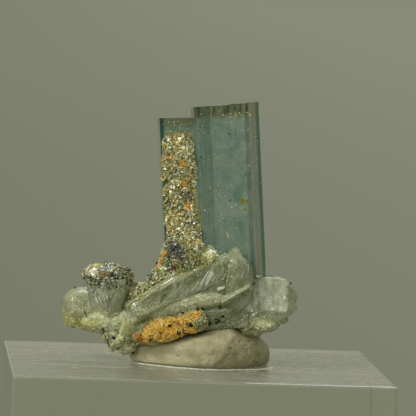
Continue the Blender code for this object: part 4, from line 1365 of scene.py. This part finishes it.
# Thin four-sided slivers on the surface, each laid along its own direction as seen from the front
def sliverField(places, facing, rows):
    length, width, angle = (np.array([row[k] for row in rows], float) for k in range(3))
    angle = np.radians(angle)[:, None]
    long = np.cos(angle) * np.array(photoRight) + np.sin(angle) * np.array(photoUp)
    toward = unitRows(facing * 0.5 - np.array(photoAhead) * 0.5)
    long = unitRows(long - (long * toward).sum(axis=-1, keepdims=True) * toward)
    corners = [(-0.5, -0.35), (0.42, -0.5), (0.5, 0.3), (-0.4, 0.5)]
    flat = fourSided(corners, long, np.cross(toward, long), length, width)
    half = toward[:, None] * sliverHalf
    middle = places[:, None] + toward[:, None] * sliverProud
    return slabs(middle + flat - half, middle + flat * 0.92 + half)


def glints(plan):
    rng = np.random.default_rng(31)
    rows = list(plan["slivers"])
    tones, shares = zip(*plan["faint"])
    for across, up, halfAcross, halfUp, count, angle, spread in plan["fields"]:
        for _ in range(count):
            a, b, c = rng.normal(size=3)
            length = 0.15 + 1.2 * rng.random() ** 2.5
            tone = str(rng.choice(tones, p=shares))
            width = 0.02 + 0.06 * rng.random() ** 2
            place = (across + fieldSpread * a * halfAcross, up + fieldSpread * b * halfUp)
            rows.append((*place, length, width, angle + spread * c, tone))
    places, facing, rows = surfaceSpots(rows)
    colours = np.array([tint(row[3]) for row in rows])
    smallPieces("cleavageSlivers", sliverField(places, facing, rows), sliverMaterial, colours, "pale_crystal")


glints(glintPlan)
print("cleavage glints built")


# Small inclusions near the tall prism's faces: five plates to a spot, each about 0.4 of its radius wide

inclusionPlan = dict(
    # across, up, radius, tone
    spots=[
        (5.82, 41.88, 0.7, "#8b8f3c"), (5.87, 40.46, 0.36, "#8a8d44"), (3.93, 41.62, 0.22, "#77804c"),
        (3.87, 39.58, 0.2, "#8d9150"), (3.08, 38.88, 0.22, "#7f8650"), (0.58, 36.49, 0.22, "#7f8650"),
        (3.75, 37.13, 0.34, "#c9c886"), (6.11, 34.08, 0.42, "#474a22"), (3.46, 50.71, 0.18, "#20261c"),
        (4.21, 50.66, 0.2, "#6a7040"), (-0.29, 47.4, 0.2, "#3c4c3c"), (1.75, 47.52, 0.14, "#dfe8dc"),
        (0.38, 40.28, 0.16, "#e4ecdf"), (3.85, 43.79, 0.1, "#cfdccf"), (2.39, 38.99, 0.12, "#d5e0d2"),
        (5.83, 45.34, 0.16, "#20302a"), (4.06, 53.12, 0.24, "#c9b46a"), (5.01, 53.15, 0.24, "#cfb76a"),
        (5.67, 53.65, 0.18, "#bfb070"), (-1.59, 53.14, 0.18, "#b9a03c"), (5.75, 54.1, 0.3, "#23281c"),
        (1, 45, 0.08, "#c8d6cc"), (2.9, 46.4, 0.07, "#c8d6cc"), (4.8, 48.3, 0.08, "#c2d0c4"),
        (0.3, 43, 0.07, "#c8d6cc"), (1.9, 41.7, 0.08, "#d0dcd0"), (4.6, 38, 0.1, "#a8b070"),
        (2.2, 36.4, 0.16, "#9aa460"), (5.2, 36, 0.12, "#8a9450"), (0.9, 50.9, 0.1, "#b8c8b8"),
        (-0.2, 50.8, 0.12, "#bccabb"), (5, 51.3, 0.1, "#c8d4c8"), (5.9, 51.4, 0.12, "#c8d4c8"),
    ],
)


def inclusions(plan):
    rng = np.random.default_rng(41)
    spots = [
        (across + part[0] * radius, up + part[1] * radius, radius * part[2], tone)
        for across, up, radius, tone in plan["spots"]
        for part in rng.normal(scale=0.4, size=(5, 3)) * (1, 1, 0.3) + (0, 0, 0.42)
    ]
    places, facing, rows = surfaceSpots(spots)
    radius = np.maximum([row[0] for row in rows], 0.03)
    plates = plateField(places - facing * 0.01, facing, radius, np.full(len(radius), 0.04), rng)
    colours = np.array([tint(row[1]) for row in rows]) * rng.uniform(0.7, 1.1, (len(rows), 1))
    smallPieces("prismInclusions", plates, sliverMaterial, colours, "aquamarine")


inclusions(inclusionPlan)
print("inclusions built")


# Black tourmaline: small grains and needles, at the places seen from the front

tourmalinePlan = dict(
    # across, up, half size
    grains=[
        (-3.74, 24.46, 0.2), (-1.2, 24.6, 0.22), (-0.95, 24.65, 0.2), (-0.75, 24.62, 0.14), (1.55, 24.83, 0.16),
        (1.7, 24.95, 0.16), (2.76, 25.27, 0.16), (2.48, 25.54, 0.14), (2.55, 25.1, 0.16), (3.41, 25.9, 0.15),
        (-0.02, 26.82, 0.16), (0.52, 26.97, 0.14), (-2.1, 26.21, 0.15), (1.24, 25.91, 0.14),
        (-2.78, 22.52, 0.14), (-6.38, 22.41, 0.14), (-12.8, 23.64, 0.16), (-11.27, 22.6, 0.18),
        (-10.54, 21.06, 0.17), (-8.62, 20.64, 0.16), (-7.3, 29.18, 0.15), (-2.6, 23.5, 0.12),
        (-2.35, 23.42, 0.12), (2.95, 27.05, 0.16), (-11.8, 21.5, 0.12), (-12.6, 23.1, 0.12), (4.9, 24.6, 0.1),
        (3.9, 24.2, 0.1), (0.2, 25.6, 0.1), (-1.9, 24, 0.1), (-5, 23.4, 0.1), (-10.9, 23.6, 0.1),
        (-9.9, 22.2, 0.1), (-16.9, 23.9, 0.1),
    ],
    # across, up, length, width, degrees from level
    needles=[
        (-15.3, 25.85, 0.7, 0.17, -66), (-15.02, 25.15, 0.8, 0.17, -70), (-12.33, 22.5, 1.05, 0.2, -65),
        (-11.9, 21.6, 1.05, 0.2, -66), (-11.27, 22.62, 0.5, 0.22, 30), (-3.9, 25.88, 0.7, 0.18, 5),
        (-2.48, 23.48, 0.6, 0.16, 0), (-0.95, 24.62, 0.85, 0.34, 10), (1.62, 24.92, 0.5, 0.22, 30),
        (2.98, 27.2, 0.5, 0.22, 80), (-6.4, 22.41, 0.35, 0.16, 20), (3.4, 25.95, 0.3, 0.2, 60),
        (2.5, 25.5, 0.35, 0.2, 40),
    ],
    grow=1.55,  # a grain's corners are cut in at random, so it starts larger than it looks
    scattered=70,  # more grains, on the back
    sunk=0.03,
    black="#12110d",
)


def tourmalineGrains(plan):
    rng = np.random.default_rng(12)
    material, _, shader, _ = newMaterial("tourmalineBlackGlossy")  # black and glassy
    setNode(shader, {"Base Color": plan["black"], "Roughness": 0.4, "IOR": 1.5})
    places, facing, rows = surfaceSpots(plan["grains"])
    cluster = facesOf(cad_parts["pale_crystal_cluster"])
    more, outward = scatter(cluster, plan["scattered"], rng, (0, 1, 0.2))
    places = np.concatenate([places - facing * plan["sunk"], more - outward * plan["sunk"]])
    size = np.concatenate([np.array([row[0] for row in rows]) * plan["grow"], rng.uniform(0.1, 0.2, len(more))])
    grains = grainField(places, size, (1, 1, 1.6), rng)
    shape = joinShapes([grains, sliverField(*surfaceSpots(plan["needles"]))])
    settle(fillMesh("tourmalineGrains", *shape, material, smooth=False), "pale_crystal")


tourmalineGrains(tourmalinePlan)
print("tourmaline built")
